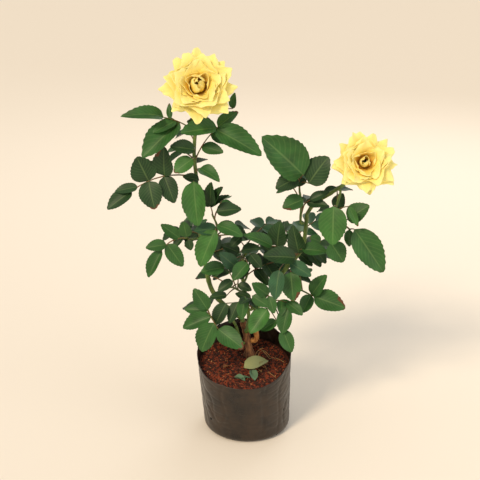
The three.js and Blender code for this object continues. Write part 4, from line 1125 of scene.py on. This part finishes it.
def leaflet_shape(name, fold, ripple, twist, dried):
    """One leaflet, a unit long and wide. Its faces past the dried share of its length are brown."""
    points = []
    bends = []
    uvs = []
    for i in range(LEAFLET_STEPS + 1):
        share = i / LEAFLET_STEPS
        half = max(blade_outline(share), 0.012)
        tooth = 1 + TOOTH * (1 if i % 2 else -1) if 0 < i < LEAFLET_STEPS else 1
        for side in LEAFLET_SIDES:
            reach = half * abs(side) * (tooth if abs(side) == 1 else 1)
            lean = TOOTH_LEAN / LEAFLET_STEPS if abs(side) == 1 and i % 2 and i < LEAFLET_STEPS else 0
            edge_wave = ripple * math.sin(9 * share + 2.1 * side) * side * side
            rise = fold * reach + edge_wave + twist * side * share * half
            points.append((math.copysign(reach, side), share + lean, rise))
            bends.append(share * share)
            uvs.append((0.5 + 0.5 * side, share))
    row = len(LEAFLET_SIDES)
    faces = []
    for i in range(LEAFLET_STEPS):
        for j in range(row - 1):
            a = i * row + j
            faces.append((a, a + 1, a + row + 1, a + row))
    mesh = bpy.data.meshes.new(name)
    mesh.from_pydata(points, [], faces)
    layer = mesh.uv_layers.new(name="blade")
    for loop in mesh.loops:
        layer.data[loop.index].uv = uvs[loop.vertex_index]
    is_dry = [i >= dried[j] * LEAFLET_STEPS for i in range(LEAFLET_STEPS) for j in range(row - 1)]
    mesh.attributes.new("dry", "BOOLEAN", "FACE").data.foreach_set("value", is_dry)
    mesh.attributes.new("bend", "FLOAT", "POINT").data.foreach_set("value", bends)
    mesh.shade_smooth()
    return bpy.data.objects.new(name, mesh)


leaflet_shapes = bpy.data.collections.new("leaflet_shapes")
GREEN_SHAPES = 4
WHOLE = (1, 1, 1, 1)
for k, (fold, ripple, twist, dried) in enumerate([
    (0.22, 0.012, 0.0, WHOLE), (0.36, 0.02, 0.1, WHOLE), (0.14, 0.02, -0.12, WHOLE),
    (0.28, 0.025, 0.06, WHOLE), (0.2, 0.02, 0.1, (0.84, 0.94, 0.94, 0.88)),
    (0.3, 0.03, -0.08, (0.7, 1, 1, 0.95)),
]):
    leaflet_shapes.objects.link(leaflet_shape(f"leaflet_{k}", fold, ripple, twist, dried))

# %% The tree that sets a leaflet on every plate
leaf_tree = bpy.data.node_groups.new("leaflets_on_plates", "GeometryNodeTree")
group_input(leaf_tree, "Plates", "Geometry")
group_input(leaf_tree, "Shapes", "Collection")
for tone in LEAF_TONES:
    group_input(leaf_tree, tone, "Material")
group_input(leaf_tree, "Dry", "Material")
leaf_tree.interface.new_socket(name="Leaflets", in_out="OUTPUT", socket_type="NodeSocketGeometry")
sizes = add_node(leaf_tree, "NodeGroupInput")
shapes = add_node(leaf_tree, "GeometryNodeCollectionInfo", {
    "Collection": sizes.outputs["Shapes"], "Separate Children": True, "Reset Children": True,
})
turn = add_node(leaf_tree, "GeometryNodeInputNamedAttribute", {"Name": "turn"}, data_type="FLOAT_VECTOR")
size = add_node(leaf_tree, "GeometryNodeInputNamedAttribute", {"Name": "size"}, data_type="FLOAT_VECTOR")
shape = add_node(leaf_tree, "GeometryNodeInputNamedAttribute", {"Name": "shape"}, data_type="INT")
spots = add_node(leaf_tree, "GeometryNodeMeshToPoints", {"Mesh": sizes.outputs["Plates"]})
set_out = add_node(leaf_tree, "GeometryNodeInstanceOnPoints", {
    "Points": spots.outputs["Points"], "Instance": shapes.outputs["Instances"], "Pick Instance": True,
    "Instance Index": shape.outputs["Attribute"], "Rotation": turn.outputs["Attribute"],
    "Scale": size.outputs["Attribute"],
})
real = add_node(leaf_tree, "GeometryNodeRealizeInstances", {"Geometry": set_out.outputs["Instances"]})
fall = add_node(leaf_tree, "GeometryNodeInputNamedAttribute", {"Name": "fall"}, data_type="FLOAT_VECTOR")
bend = add_node(leaf_tree, "GeometryNodeInputNamedAttribute", {"Name": "bend"}, data_type="FLOAT")
offset = add_node(leaf_tree, "ShaderNodeVectorMath", {
    0: fall.outputs["Attribute"], "Scale": bend.outputs["Attribute"],
}, operation="SCALE")
bent = add_node(leaf_tree, "GeometryNodeSetPosition", {
    "Geometry": real.outputs["Geometry"], "Offset": offset.outputs["Vector"],
})
tone_number = add_node(leaf_tree, "GeometryNodeInputNamedAttribute", {"Name": "tone"}, data_type="INT")
coated = bent
for number, tone in enumerate(LEAF_TONES):
    chosen = add_node(leaf_tree, "FunctionNodeCompare", {
        2: tone_number.outputs["Attribute"], 3: number,
    }, data_type="INT", operation="EQUAL")
    coated = add_node(leaf_tree, "GeometryNodeSetMaterial", {
        "Geometry": coated.outputs["Geometry"], "Selection": chosen.outputs["Result"],
        "Material": sizes.outputs[tone],
    })
dry_faces = add_node(leaf_tree, "GeometryNodeInputNamedAttribute", {"Name": "dry"}, data_type="BOOLEAN")
coated = add_node(leaf_tree, "GeometryNodeSetMaterial", {
    "Geometry": coated.outputs["Geometry"], "Selection": dry_faces.outputs["Attribute"],
    "Material": sizes.outputs["Dry"],
})
add_node(leaf_tree, "NodeGroupOutput", {"Leaflets": coated.outputs["Geometry"]})

# %% Set the leaflets out
LEAFLET_ROOM = 1.08
DRIED_SHARE = 0.14
tone_order = list(LEAF_TONES)
plate_points = []
plate_turns = []
plate_sizes = []
plate_shapes = []
plate_tones = []
plate_falls = []
shape_draw = seeded_draws(7)
for spray in sprays:
    for plate in spray["plates"]:
        axes = Matrix([plate.across, plate.along, plate.facing]).transposed()
        plate_points.append(plate.base)
        plate_turns += list(axes.to_euler())
        plate_sizes += [plate.width * MM * LEAFLET_ROOM, plate.length * MM, plate.length * MM]
        kinds = GREEN_SHAPES if shape_draw() > DRIED_SHARE else len(leaflet_shapes.objects)
        choices = GREEN_SHAPES if kinds == GREEN_SHAPES else 2
        plate_shapes.append(kinds - 1 - int(shape_draw() * choices))
        plate_tones.append(tone_order.index(spray["tone"]))
        plate_falls += list(plate.facing * -plate.droop * plate.length * MM)
leaflets = new_object("rose_leaflets", plate_points, [])
attributes = leaflets.data.attributes
attributes.new("turn", "FLOAT_VECTOR", "POINT").data.foreach_set("vector", plate_turns)
attributes.new("size", "FLOAT_VECTOR", "POINT").data.foreach_set("vector", plate_sizes)
attributes.new("fall", "FLOAT_VECTOR", "POINT").data.foreach_set("vector", plate_falls)
attributes.new("shape", "INT", "POINT").data.foreach_set("value", plate_shapes)
attributes.new("tone", "INT", "POINT").data.foreach_set("value", plate_tones)
run_tree(leaflets, leaf_tree, Plates=None, Shapes=leaflet_shapes, Dry=dry_leaf, **leaf_greens)
for shape in list(leaflet_shapes.objects):
    bpy.data.objects.remove(shape)
finish_piece(leaflets, "foliage", *[mass["name"] for mass in masses])

# %% [markdown]
# ## The blooms
# An open garden rose is a heart of rolled petals inside whorls that open wider and wider. Each
# petal is a small cupped sheet with a pointed tip, and the outer ones roll their edges back.
# Every petal comes from one function of its whorl, so a bloom is a short table of whorls.

# %% One petal
# Its tip is a small point off the middle, its edge is torn into low waves, and it ripples.
PETAL_ROWS = 10
PETAL_COLUMNS = 12
LAP = 0.7


def smoothstep(low, high, value):
    share = min(max((value - low) / (high - low), 0), 1)
    return share * share * (3 - 2 * share)


def petal_edge(whorl, side, share, tip, wave):
    """How far a petal reaches at a place across it, against its middle."""
    near_edge = smoothstep(0.6, 1, share)
    rounding = 0.26 * abs(side) ** 2.2
    peak = whorl["point"] * max(0, 1 - 2.6 * abs(side - tip))
    torn = 0.025 * math.sin(10 * side + 3 * wave)
    return 1 + near_edge * (peak + torn - rounding)


def petal_points(bloom, whorl, angle, lap, draw):
    """The points of one petal's sheet, row by row from its foot to its edge.

    The lap, from 0 to 1, tells how far out a petal lies over the others of its whorl.
    """
    length = whorl["length"] * bloom.radius * (0.9 + 0.14 * draw())
    foot_open = math.radians(whorl["open"][0] + 8 * (draw() - 0.5))
    edge_open = math.radians(whorl["open"][1] + 16 * (draw() - 0.5) + 44 * lap * whorl["twist"])
    half = whorl["width"] * bloom.radius * (0.88 + 0.24 * draw())
    tip = 0.5 * (draw() - 0.5)
    wave = draw() * 6
    points = []
    radius = whorl["foot"] * (1 + LAP * lap)
    height = PETAL_FOOT_HEIGHT
    for i in range(PETAL_ROWS + 1):
        share = i / PETAL_ROWS
        opening = foot_open + (edge_open - foot_open) * share ** 1.3
        spread = math.sin(math.pi * min(share * 0.62 + 0.02, 0.5))
        breadth = half * (0.3 + 0.7 * spread) * (1 - 0.36 * smoothstep(0.7, 1, share))
        for j in range(PETAL_COLUMNS + 1):
            side = 2 * j / PETAL_COLUMNS - 1
            edge = petal_edge(whorl, side, share, tip, wave)
            x = side * breadth
            wrap = whorl["wrap"] * x / max(radius, 5)
            flat = (1 - whorl["wrap"]) * x
            roll = whorl["roll"] * smoothstep(0.55, 1, share) * abs(side) ** 2
            cup = whorl["cup"] * (side * side) * smoothstep(0, 0.6, share)
            slow_wave, quick_wave = math.sin(4 * side + wave), math.sin(9 * side - wave)
            ripple = slow_wave * share ** 2 + 0.5 * quick_wave * share ** 4
            back = roll - cup + whorl["ripple"] * ripple
            reach = radius * edge + back * math.cos(opening)
            lift = height * (edge if opening < 0.9 else 1) - back * math.sin(opening)
            turn = angle + wrap + whorl["twist"] * share
            points.append(
                bloom.place(reach, turn, lift)
                + (bloom.upward * math.cos(turn) - bloom.across * math.sin(turn)) * flat
            )
        radius += length / PETAL_ROWS * math.sin(opening)
        height += length / PETAL_ROWS * math.cos(opening)
    return points


# %% The whorls of a bloom
# The last whorl closes to a pointed bud, and a dark gap parts it from the whorl around it.
PETAL_FOOT_HEIGHT = 5
PETAL_FILM = 0.5


def whorl(count, length, opening, width, foot, wrap, cup, roll, point, ripple, twist=0.0):
    return dict(
        count=count, length=length, open=opening, width=width, foot=foot, wrap=wrap,
        cup=cup, roll=roll, point=point, ripple=ripple, twist=twist,
    )


WHORLS = [
    whorl(8, 0.93, (66, 98), 0.42, 3, 0.2, 1, 6, 0.1, 2.4),
    whorl(7, 0.90, (54, 90), 0.42, 3, 0.25, 1, 6, 0.1, 2.4),
    whorl(5, 0.80, (42, 78), 0.5, 4, 0.35, 2, 4, 0.1, 2.6),
    whorl(5, 0.68, (32, 64), 0.46, 5, 0.5, 2, 4, 0.09, 2.2),
    whorl(4, 0.56, (28, 44), 0.44, 8, 0.7, 2, 3, 0.08, 2.2),
    whorl(3, 0.5, (34, -12), 0.42, 6.5, 0.9, 1, 2, 0.08, 2.6, twist=0.3),
]
GOLDEN_WHORLS = 4
HEARTS = {
    "left_rose": whorl(4, 0.58, (20, -74), 0.26, 5, 1, 0, 3, 0.12, 2.2, twist=0.8),
    "right_rose": whorl(3, 0.5, (16, -52), 0.26, 3.6, 0.9, 0, 3, 0.1, 2.4, twist=1.1),
}


def petals(name, bloom, whorls, seed, material):
    draw = seeded_draws(seed)
    points = []
    faces = []
    uvs = []
    row = PETAL_COLUMNS + 1
    for k, whorl in whorls:
        for i in range(whorl["count"]):
            angle = 2 * math.pi * (i / whorl["count"] + k * GOLDEN_TURN) + 0.3 * (draw() - 0.5)
            first = len(points)
            points += petal_points(bloom, whorl, angle, i / whorl["count"], draw)
            uvs += [
                (j / PETAL_COLUMNS, r / PETAL_ROWS)
                for r in range(PETAL_ROWS + 1) for j in range(row)
            ]
            for r in range(PETAL_ROWS):
                for j in range(PETAL_COLUMNS):
                    a = first + r * row + j
                    faces.append((a, a + 1, a + row + 1, a + row))
    piece = new_object(name, points, faces)
    layer = piece.data.uv_layers.new(name="blade")
    for loop in piece.data.loops:
        layer.data[loop.index].uv = uvs[loop.vertex_index]
    piece.data.materials.append(material)
    wall = piece.modifiers.new("petal_wall", "SOLIDIFY")
    wall.thickness = PETAL_FILM * MM
    wall.offset = 0
    finer = piece.modifiers.new("finer", "SUBSURF")
    finer.levels = 1
    finer.render_levels = 1
    return smooth(plain_mesh(piece))


for seed, (name, bloom) in enumerate(blooms.items(), start=3):
    numbered = list(enumerate([*WHORLS, HEARTS[name]]))
    outer = petals(name + "_outer_petals", bloom, numbered[:GOLDEN_WHORLS], seed, creamy_petal)
    heart = petals(name + "_heart_petals", bloom, numbered[GOLDEN_WHORLS:], seed + 20, golden_petal)
    finish_piece(outer, "petal", name)
    finish_piece(heart, "petal", name)

# %% Hips and sepals
# Behind the petals a green hip carries five long sepals.
HIP = [(2.2, 0.3), (3.6, 1.6), (4.9, 4), (4.9, 6.4), (3, 9)]
HIP_SIDES = 14
SEPALS = 5
SEPAL_LENGTH = 29
SEPAL_STEPS = 6


def hip_and_sepals(name, bloom):
    points = []
    faces = []
    for radius, height in HIP:
        points += [bloom.place(radius, 2 * math.pi * i / HIP_SIDES, height) for i in range(HIP_SIDES)]
    for ring in range(len(HIP) - 1):
        for i in range(HIP_SIDES):
            a = ring * HIP_SIDES + i
            b = ring * HIP_SIDES + (i + 1) % HIP_SIDES
            faces.append((a, b, b + HIP_SIDES, a + HIP_SIDES))
    faces.append(tuple(reversed(range(HIP_SIDES))))
    faces.append(tuple(range(len(points) - HIP_SIDES, len(points))))
    for k in range(SEPALS):
        angle = 2 * math.pi * k / SEPALS
        first = len(points)
        for i in range(SEPAL_STEPS + 1):
            share = i / SEPAL_STEPS
            half = 2.8 * (1 - share) ** 0.8 + 0.15
            reach = 3.5 + SEPAL_LENGTH * share
            height = 5 - 4 * share + 1.5 * math.sin(math.pi * share)
            for side in (-1, 0, 1):
                swing = side * half / max(reach, 4)
                points.append(bloom.place(reach, angle + swing, height - 0.5 * abs(side)))
        for i in range(SEPAL_STEPS):
            for j in range(2):
                a = first + 3 * i + j
                faces.append((a, a + 1, a + 4, a + 3))
    piece = new_object(name, points, faces)
    piece.data.uv_layers.new(name="blade")
    piece.data.materials.append(leaf_greens["mid"])
    return smooth(piece)


for name, bloom in blooms.items():
    finish_piece(hip_and_sepals(name + "_hip", bloom), "foliage", name)

# %% [markdown]
# ## The nursery bag
# The bag is a tube of thin film, welded flat at its foot and filled, so it bulges into a soft
# round with long creases. Its rim is cut lower in front. It is a grid of points round the wall,
# moved in and out by creases, then given the film's thickness.

# %% The bag's wall
BASE_RADIUS = 58.5
RIM_RADIUS = 64
RIM_HEIGHT = 106
RIM_TILT = 0.34
BAG_LEAN = -5
FOOT_ROUNDING = 9
FOLD_DEPTH = 0.9
FOLDS = 5
WALL_STEPS = 240
WALL_ROWS = 64
FOOT_ROWS = 6
GROOVE_WIDTH = 2.6
DEEPEST_DENT = 1.1
FILM_THICKNESS = 0.5

# The creases that show, as the angle and height of both ends and the depth. More by seed follow.
grooves = [
    (-69, 104, -67, 22, 1.3), (-145, 48, -130, 24, 1.7), (-130, 24, -112, 30, 1.0),
    (-52, 40, -30, 24, 1.5), (-64, 20, -42, 12, 1.2), (-40, 62, -24, 50, 1.2), (-96, 84, -112, 66, 1.0),
]
groove_draw = seeded_draws(17)
for _ in range(18):
    start, height = -20 + 240 * groove_draw(), 20 + 80 * groove_draw()
    run, drop = 30 * (groove_draw() - 0.5), 40 * (groove_draw() - 0.5)
    grooves.append((start, height, start + run, min(max(height + drop, 12), 102), 0.7 + groove_draw()))


def wall_radius(height):
    return BASE_RADIUS + (RIM_RADIUS - BASE_RADIUS) * height / RIM_HEIGHT


def crease(angle, height, around, upward, seed):
    """A sharp crease where a noise crosses its middle, from 0 to 1."""
    spot = Vector((math.cos(angle) * around, math.sin(angle) * around, height * upward + seed))
    return 1 - min(abs(noise.noise(spot)) * 5, 1)


MM_PER_DEGREE = 1.05
ROUND_WALL = 360 * MM_PER_DEGREE
END_FADE = 0.7


def groove_depth(angle, height):
    """How deep the creases are pressed in at a place on the wall."""
    place = np.array([math.degrees(angle) * MM_PER_DEGREE, height])
    depth = 0
    for start, start_height, end, end_height, deepest in grooves:
        first = np.array([start * MM_PER_DEGREE, start_height])
        along = np.array([end * MM_PER_DEGREE, end_height]) - first
        offset = place - first
        offset[0] = (offset[0] + ROUND_WALL / 2) % ROUND_WALL - ROUND_WALL / 2
        share = min(max(offset @ along / (along @ along), 0), 1)
        away = np.linalg.norm(offset - along * share) / GROOVE_WIDTH
        depth += deepest * max(0, 1 - away) * (1 - END_FADE * abs(2 * share - 1) ** 3)
    return depth


def bag_point(angle, radius, height):
    share = height / RIM_HEIGHT
    fold = FOLD_DEPTH * share * math.sin(FOLDS * angle + 1)
    wide_crease = crease(angle, height, 2.2, 0.02, 3)
    fine_crease = crease(angle, height, 1.2, 0.07, 9)
    film_dent = 0.9 * wide_crease ** 2 + 0.6 * fine_crease ** 2
    film_dent = min(film_dent + groove_depth(angle, height), DEEPEST_DENT)
    swell = radius / RIM_RADIUS * (fold - film_dent * smoothstep(0.02, 0.2, share))
    reach = radius + swell
    y = reach * math.sin(angle)
    return (
        reach * math.cos(angle) + BAG_LEAN * share,
        y,
        height + RIM_TILT * y * share * share,
    )


profile = [(0.0, 0.0), (20.0, 0.0), (40.0, 0.0)]
foot_middle = wall_radius(FOOT_ROUNDING) - FOOT_ROUNDING
for i in range(FOOT_ROWS + 1):
    turn = math.pi / 2 * i / FOOT_ROWS
    profile.append((
        foot_middle + FOOT_ROUNDING * math.sin(turn), FOOT_ROUNDING * (1 - math.cos(turn)),
    ))
for i in range(1, WALL_ROWS + 1):
    height = FOOT_ROUNDING + (RIM_HEIGHT - FOOT_ROUNDING) * i / WALL_ROWS
    profile.append((wall_radius(height), height))
points = [
    bag_point(2 * math.pi * j / WALL_STEPS, r, h)
    for r, h in profile[1:] for j in range(WALL_STEPS)
]
faces = []
for i in range(len(profile) - 2):
    for j in range(WALL_STEPS):
        a = i * WALL_STEPS + j
        b = i * WALL_STEPS + (j + 1) % WALL_STEPS
        faces.append((a, b, b + WALL_STEPS, a + WALL_STEPS))
faces.append(tuple(reversed(range(WALL_STEPS))))
bag = new_object("nursery_bag_film", points, faces)
bag.data.materials.append(film)
wall = bag.modifiers.new("film_wall", "SOLIDIFY")
wall.thickness = FILM_THICKNESS * MM
wall.offset = -1
smooth(plain_mesh(bag))
finish_piece(bag, "bag_film", "nursery_bag")

# %% The drain holes
# Two small punched holes show low on the wall: near-black rounds just proud of the film, which are
# painted shade of the holes, over the dark medium behind them.
HOLE_RADIUS = 2.0
HOLE_CORNERS = 14
PROUD = 0.35
points = []
faces = []
for angle, height in ((math.radians(-143), 26), (math.radians(-31), 38)):
    middle = np.array(bag_point(angle, wall_radius(height) + PROUD, height))
    aside = np.array([-math.sin(angle), math.cos(angle), 0])
    faces.append(tuple(range(len(points), len(points) + HOLE_CORNERS)))
    for k in range(HOLE_CORNERS):
        turn = 2 * math.pi * k / HOLE_CORNERS
        points.append(middle + HOLE_RADIUS * (aside * math.cos(turn) + UP * math.sin(turn)))
holes = new_object("drain_holes", points, faces)
# The near-black is painted shade of the holes.
holes.data.materials.append(finish("hole_painted_shade", "#070504", 0.95)[0])
finish_piece(holes, "bag_film")

# %% [markdown]
# ## The growing medium
# The bed keeps its solid, and loose chips lie on it. Geometry Nodes scatter them over the top
# faces: three kinds, each with its own seed, size and colour.

# %% The tree that scatters chips
TOP_FACING = 0.7
chip_tree = bpy.data.node_groups.new("chips_on_bed", "GeometryNodeTree")
for socket in (
    ("Bed", "Geometry"), ("Chip", "Object"), ("Density", "Float", 1000.0), ("Seed", "Int", 0),
    ("Smallest", "Float", 1.0), ("Largest", "Float", 2.0), ("Finish", "Material"),
):
    group_input(chip_tree, *socket)
chip_tree.interface.new_socket(name="Chips", in_out="OUTPUT", socket_type="NodeSocketGeometry")
sizes = add_node(chip_tree, "NodeGroupInput")
facing = add_node(chip_tree, "GeometryNodeInputNormal")
facing_parts = add_node(chip_tree, "ShaderNodeSeparateXYZ", {"Vector": facing.outputs["Normal"]})
is_top = add_node(chip_tree, "FunctionNodeCompare", {
    0: facing_parts.outputs["Z"], 1: TOP_FACING,
}, data_type="FLOAT", operation="GREATER_THAN")
spots = add_node(chip_tree, "GeometryNodeDistributePointsOnFaces", {
    "Mesh": sizes.outputs["Bed"], "Selection": is_top.outputs["Result"],
    "Density": sizes.outputs["Density"], "Seed": sizes.outputs["Seed"],
})
turns = add_node(chip_tree, "FunctionNodeRandomValue", {
    0: (-0.7, -0.7, 0.0), 1: (0.7, 0.7, 6.28), "Seed": sizes.outputs["Seed"],
}, data_type="FLOAT_VECTOR")
spans = add_node(chip_tree, "FunctionNodeRandomValue", {
    2: sizes.outputs["Smallest"], 3: sizes.outputs["Largest"], "Seed": sizes.outputs["Seed"],
}, data_type="FLOAT")
chip = add_node(chip_tree, "GeometryNodeObjectInfo", {"Object": sizes.outputs["Chip"]})
scattered = add_node(chip_tree, "GeometryNodeInstanceOnPoints", {
    "Points": spots.outputs["Points"], "Instance": chip.outputs["Geometry"],
    "Rotation": turns.outputs["Value"], "Scale": spans.outputs["Value"],
})
real = add_node(chip_tree, "GeometryNodeRealizeInstances", {"Geometry": scattered.outputs["Instances"]})
coated = add_node(chip_tree, "GeometryNodeSetMaterial", {
    "Geometry": real.outputs["Geometry"], "Material": sizes.outputs["Finish"],
})
add_node(chip_tree, "NodeGroupOutput", {"Chips": coated.outputs["Geometry"]})

# %% Scatter the chips
bed_node = frame["nodes"]["growing_medium"]
bed_node.data.materials.clear()
bed_node.data.materials.append(bed)
CHIP_SPREAD = 0.95
# Each kind has its number per square metre, its seed, its smallest and largest size, and how flat it is.
CHIP_KINDS = [
    ("red_chips", 120000, 11, 2.2, 5.2, 0.6),
    ("dark_chips", 90000, 12, 2.4, 6.0, 0.6),
    ("pale_chips", 22000, 13, 1.6, 4.4, 0.3),
]
for name, density, seed, smallest, largest, flatness in CHIP_KINDS:
    draw = seeded_draws(seed)
    mesh = bpy.data.meshes.new("chip")
    shaper = bmesh.new()
    bmesh.ops.create_icosphere(shaper, subdivisions=1, radius=0.5)
    for vertex in shaper.verts:
        vertex.co *= 0.7 + 0.6 * draw()
        vertex.co.z *= flatness
        vertex.co.y *= 0.7
    shaper.to_mesh(mesh)
    shaper.free()
    chip_shape = bpy.data.objects.new("chip", mesh)
    bed_copy = bpy.data.objects.new(name, bed_node.data.copy())
    # Chips near the wall lie a little further in, so that none comes through the film.
    for vertex in bed_copy.data.vertices:
        vertex.co.xy *= CHIP_SPREAD
    bpy.context.scene.collection.objects.link(bed_copy)
    run_tree(
        bed_copy, chip_tree, Chip=chip_shape, Density=float(density), Seed=seed,
        Smallest=smallest * MM, Largest=largest * MM, Finish=CHIP_FINISHES[name],
    )
    bpy.data.objects.remove(chip_shape)
    finish_piece(bed_copy, "growing_medium")

# %% Fallen leaves and straws
# A shrivelled pale leaf lies before the stem with two curled scraps, and dry straws are strewn
# to its right.
SCRAP_STEPS = 8
SCRAP_COLUMNS = 6
BED_LEVEL = 91
BED_SLOPE = 0.155
MOUND_LEVEL = 92
MOUND_EDGE = (11, 26)
STRAWS = 11


def soil_top(x, y):
    """The height of the bed, which slopes to the front and is level round the stem."""
    away = math.hypot(x - FOOT[0], y - FOOT[1])
    slope = BED_LEVEL + BED_SLOPE * y
    return MOUND_LEVEL + (slope - MOUND_LEVEL) * smoothstep(*MOUND_EDGE, away)


def scrap(place, length, width, turn, curl, lift):
    """The points and faces of one curled scrap of leaf, lifted at its far end."""
    aside = np.array([math.cos(turn), math.sin(turn), 0])
    ahead = np.array([-math.sin(turn), math.cos(turn), 0])
    base = np.array([*place, soil_top(*place) + 1.2])
    points = []
    for i in range(SCRAP_STEPS + 1):
        share = i / SCRAP_STEPS
        half = max(blade_outline(share), 0.03) * width
        for j in range(SCRAP_COLUMNS + 1):
            side = 2 * j / SCRAP_COLUMNS - 1
            rise = curl * side * side * half + lift * share + 0.8 * math.sin(7 * share + 3 * side)
            points.append(base + aside * side * half * 0.9 + ahead * (share - 0.5) * length + UP * rise)
    row = SCRAP_COLUMNS + 1
    faces = [
        (i * row + j, i * row + j + 1, (i + 1) * row + j + 1, (i + 1) * row + j)
        for i in range(SCRAP_STEPS) for j in range(SCRAP_COLUMNS)
    ]
    return points, faces


for name, colour, scraps in (
    ("fallen_leaf", "#a0a673", [((12, -10), 34, 38, -1.3, 0.25, 6)]),
    ("curled_scraps", "#5c7a5e", [
        ((8, -34), 20, 13, 0.2, 0.8, 5), ((-10, -40), 15, 11, 1.2, 0.9, 3),
        ((-2, -37), 12, 7, 2.0, 0.6, 2),
    ]),
    ("dried_scraps", "#8a5a34", [((20, -10), 12, 7, 0.6, 0.7, 2), ((-28, -14), 13, 8, 2.4, 0.8, 3)]),
):
    points = []
    faces = []
    for one in scraps:
        more_points, more_faces = scrap(*one)
        faces += [tuple(corner + len(points) for corner in face) for face in more_faces]
        points += more_points
    piece = smooth(new_object(name, points, faces))
    piece.data.materials.append(finish(name + "_surface", colour, 0.8)[0])
    finish_piece(piece, "growing_medium")

straw_draw = seeded_draws(29)
straw_courses = []
for _ in range(STRAWS):
    middle = np.array([6 + 34 * straw_draw(), -34 + 62 * straw_draw()])
    heading = 2 * math.pi * straw_draw()
    reach = 7 + 8 * straw_draw()
    bulge = 2 + 3 * straw_draw()
    course = []
    for k in range(7):
        along = k / 3 - 1
        x = middle[0] + reach * along * math.cos(heading) + 2 * along * along
        y = middle[1] + reach * along * math.sin(heading)
        course.append((np.array([x, y, soil_top(x, y) + 1 + bulge * (1 - along * along)]), 0.3))
    straw_courses.append(course)
straw_finish = finish("dry_straw", "#a88a5a", 0.8)[0]
straws = stems("straws", straw_courses, Sides=5, Relief=0.0, Grain=grain_scale(7), Finish=straw_finish)
finish_piece(straws, "growing_medium")

# %% [markdown]
# ## Floor, light and camera
# A plain pale floor and soft studio light show the plant alone. The camera stands where the
# photograph was taken from: in front, a little above the blooms, looking down at the bag.

# %% The floor
FLOOR_REACH = 12.0
floor = new_object("studio_floor", [
    (x * FLOOR_REACH / MM, y * FLOOR_REACH / MM, 0) for x, y in ((-1, -1), (1, -1), (1, 1), (-1, 1))
], [(0, 1, 2, 3)])
floor_paint, _, _ = finish("pale_studio_floor", "#efe8dd", 0.8)
floor.data.materials.append(floor_paint)

# %% Soft studio light
def soft_light(name, place, target, size, watts, colour):
    lamp = bpy.data.lights.new(name, "AREA")
    lamp.size = size
    lamp.energy = watts
    lamp.color = linear(colour)[:3]
    made = bpy.data.objects.new(name, lamp)
    made.location = place
    made.rotation_euler = (Vector(target) - Vector(place)).to_track_quat("-Z", "Y").to_euler()
    bpy.context.scene.collection.objects.link(made)


MIDDLE = (0, 0, 0.28)
sun = bpy.data.lights.new("key", "SUN")
sun.energy = 2.1
sun.angle = math.radians(14)
sun.color = linear("#ffe9c9")[:3]
key = bpy.data.objects.new("key", sun)
key.rotation_euler = Vector((1.0, 1.3, -1.35)).to_track_quat("-Z", "Y").to_euler()
bpy.context.scene.collection.objects.link(key)
soft_light("fill", (1.5, -0.9, 0.8), MIDDLE, 1.4, 7, "#fff6ec")
soft_light("rim", (0.6, 1.5, 1.3), MIDDLE, 1.0, 7, "#ffffff")
world = bpy.data.worlds.new("pale_studio")
bpy.context.scene.world = world
world.use_nodes = True
background = world.node_tree.nodes["Background"]
background.inputs["Color"].default_value = linear("#e9e3db")
background.inputs["Strength"].default_value = 0.75
# The plain view keeps the petals as yellow as they are, where the filmic one would pale them.
bpy.context.scene.view_settings.view_transform = "Standard"

# %% The camera
CAMERA_PLACE = (-0.0098, -1.1746, 0.6965)
CAMERA_DROP = math.radians(20)
FIELD_OF_VIEW = math.radians(28.04)
lens = bpy.data.cameras.new("camera")
lens.angle = FIELD_OF_VIEW
camera = bpy.data.objects.new("camera", lens)
camera.location = CAMERA_PLACE
camera.rotation_euler = (math.pi / 2 - CAMERA_DROP, 0, 0)
bpy.context.scene.collection.objects.link(camera)
bpy.context.scene.camera = camera
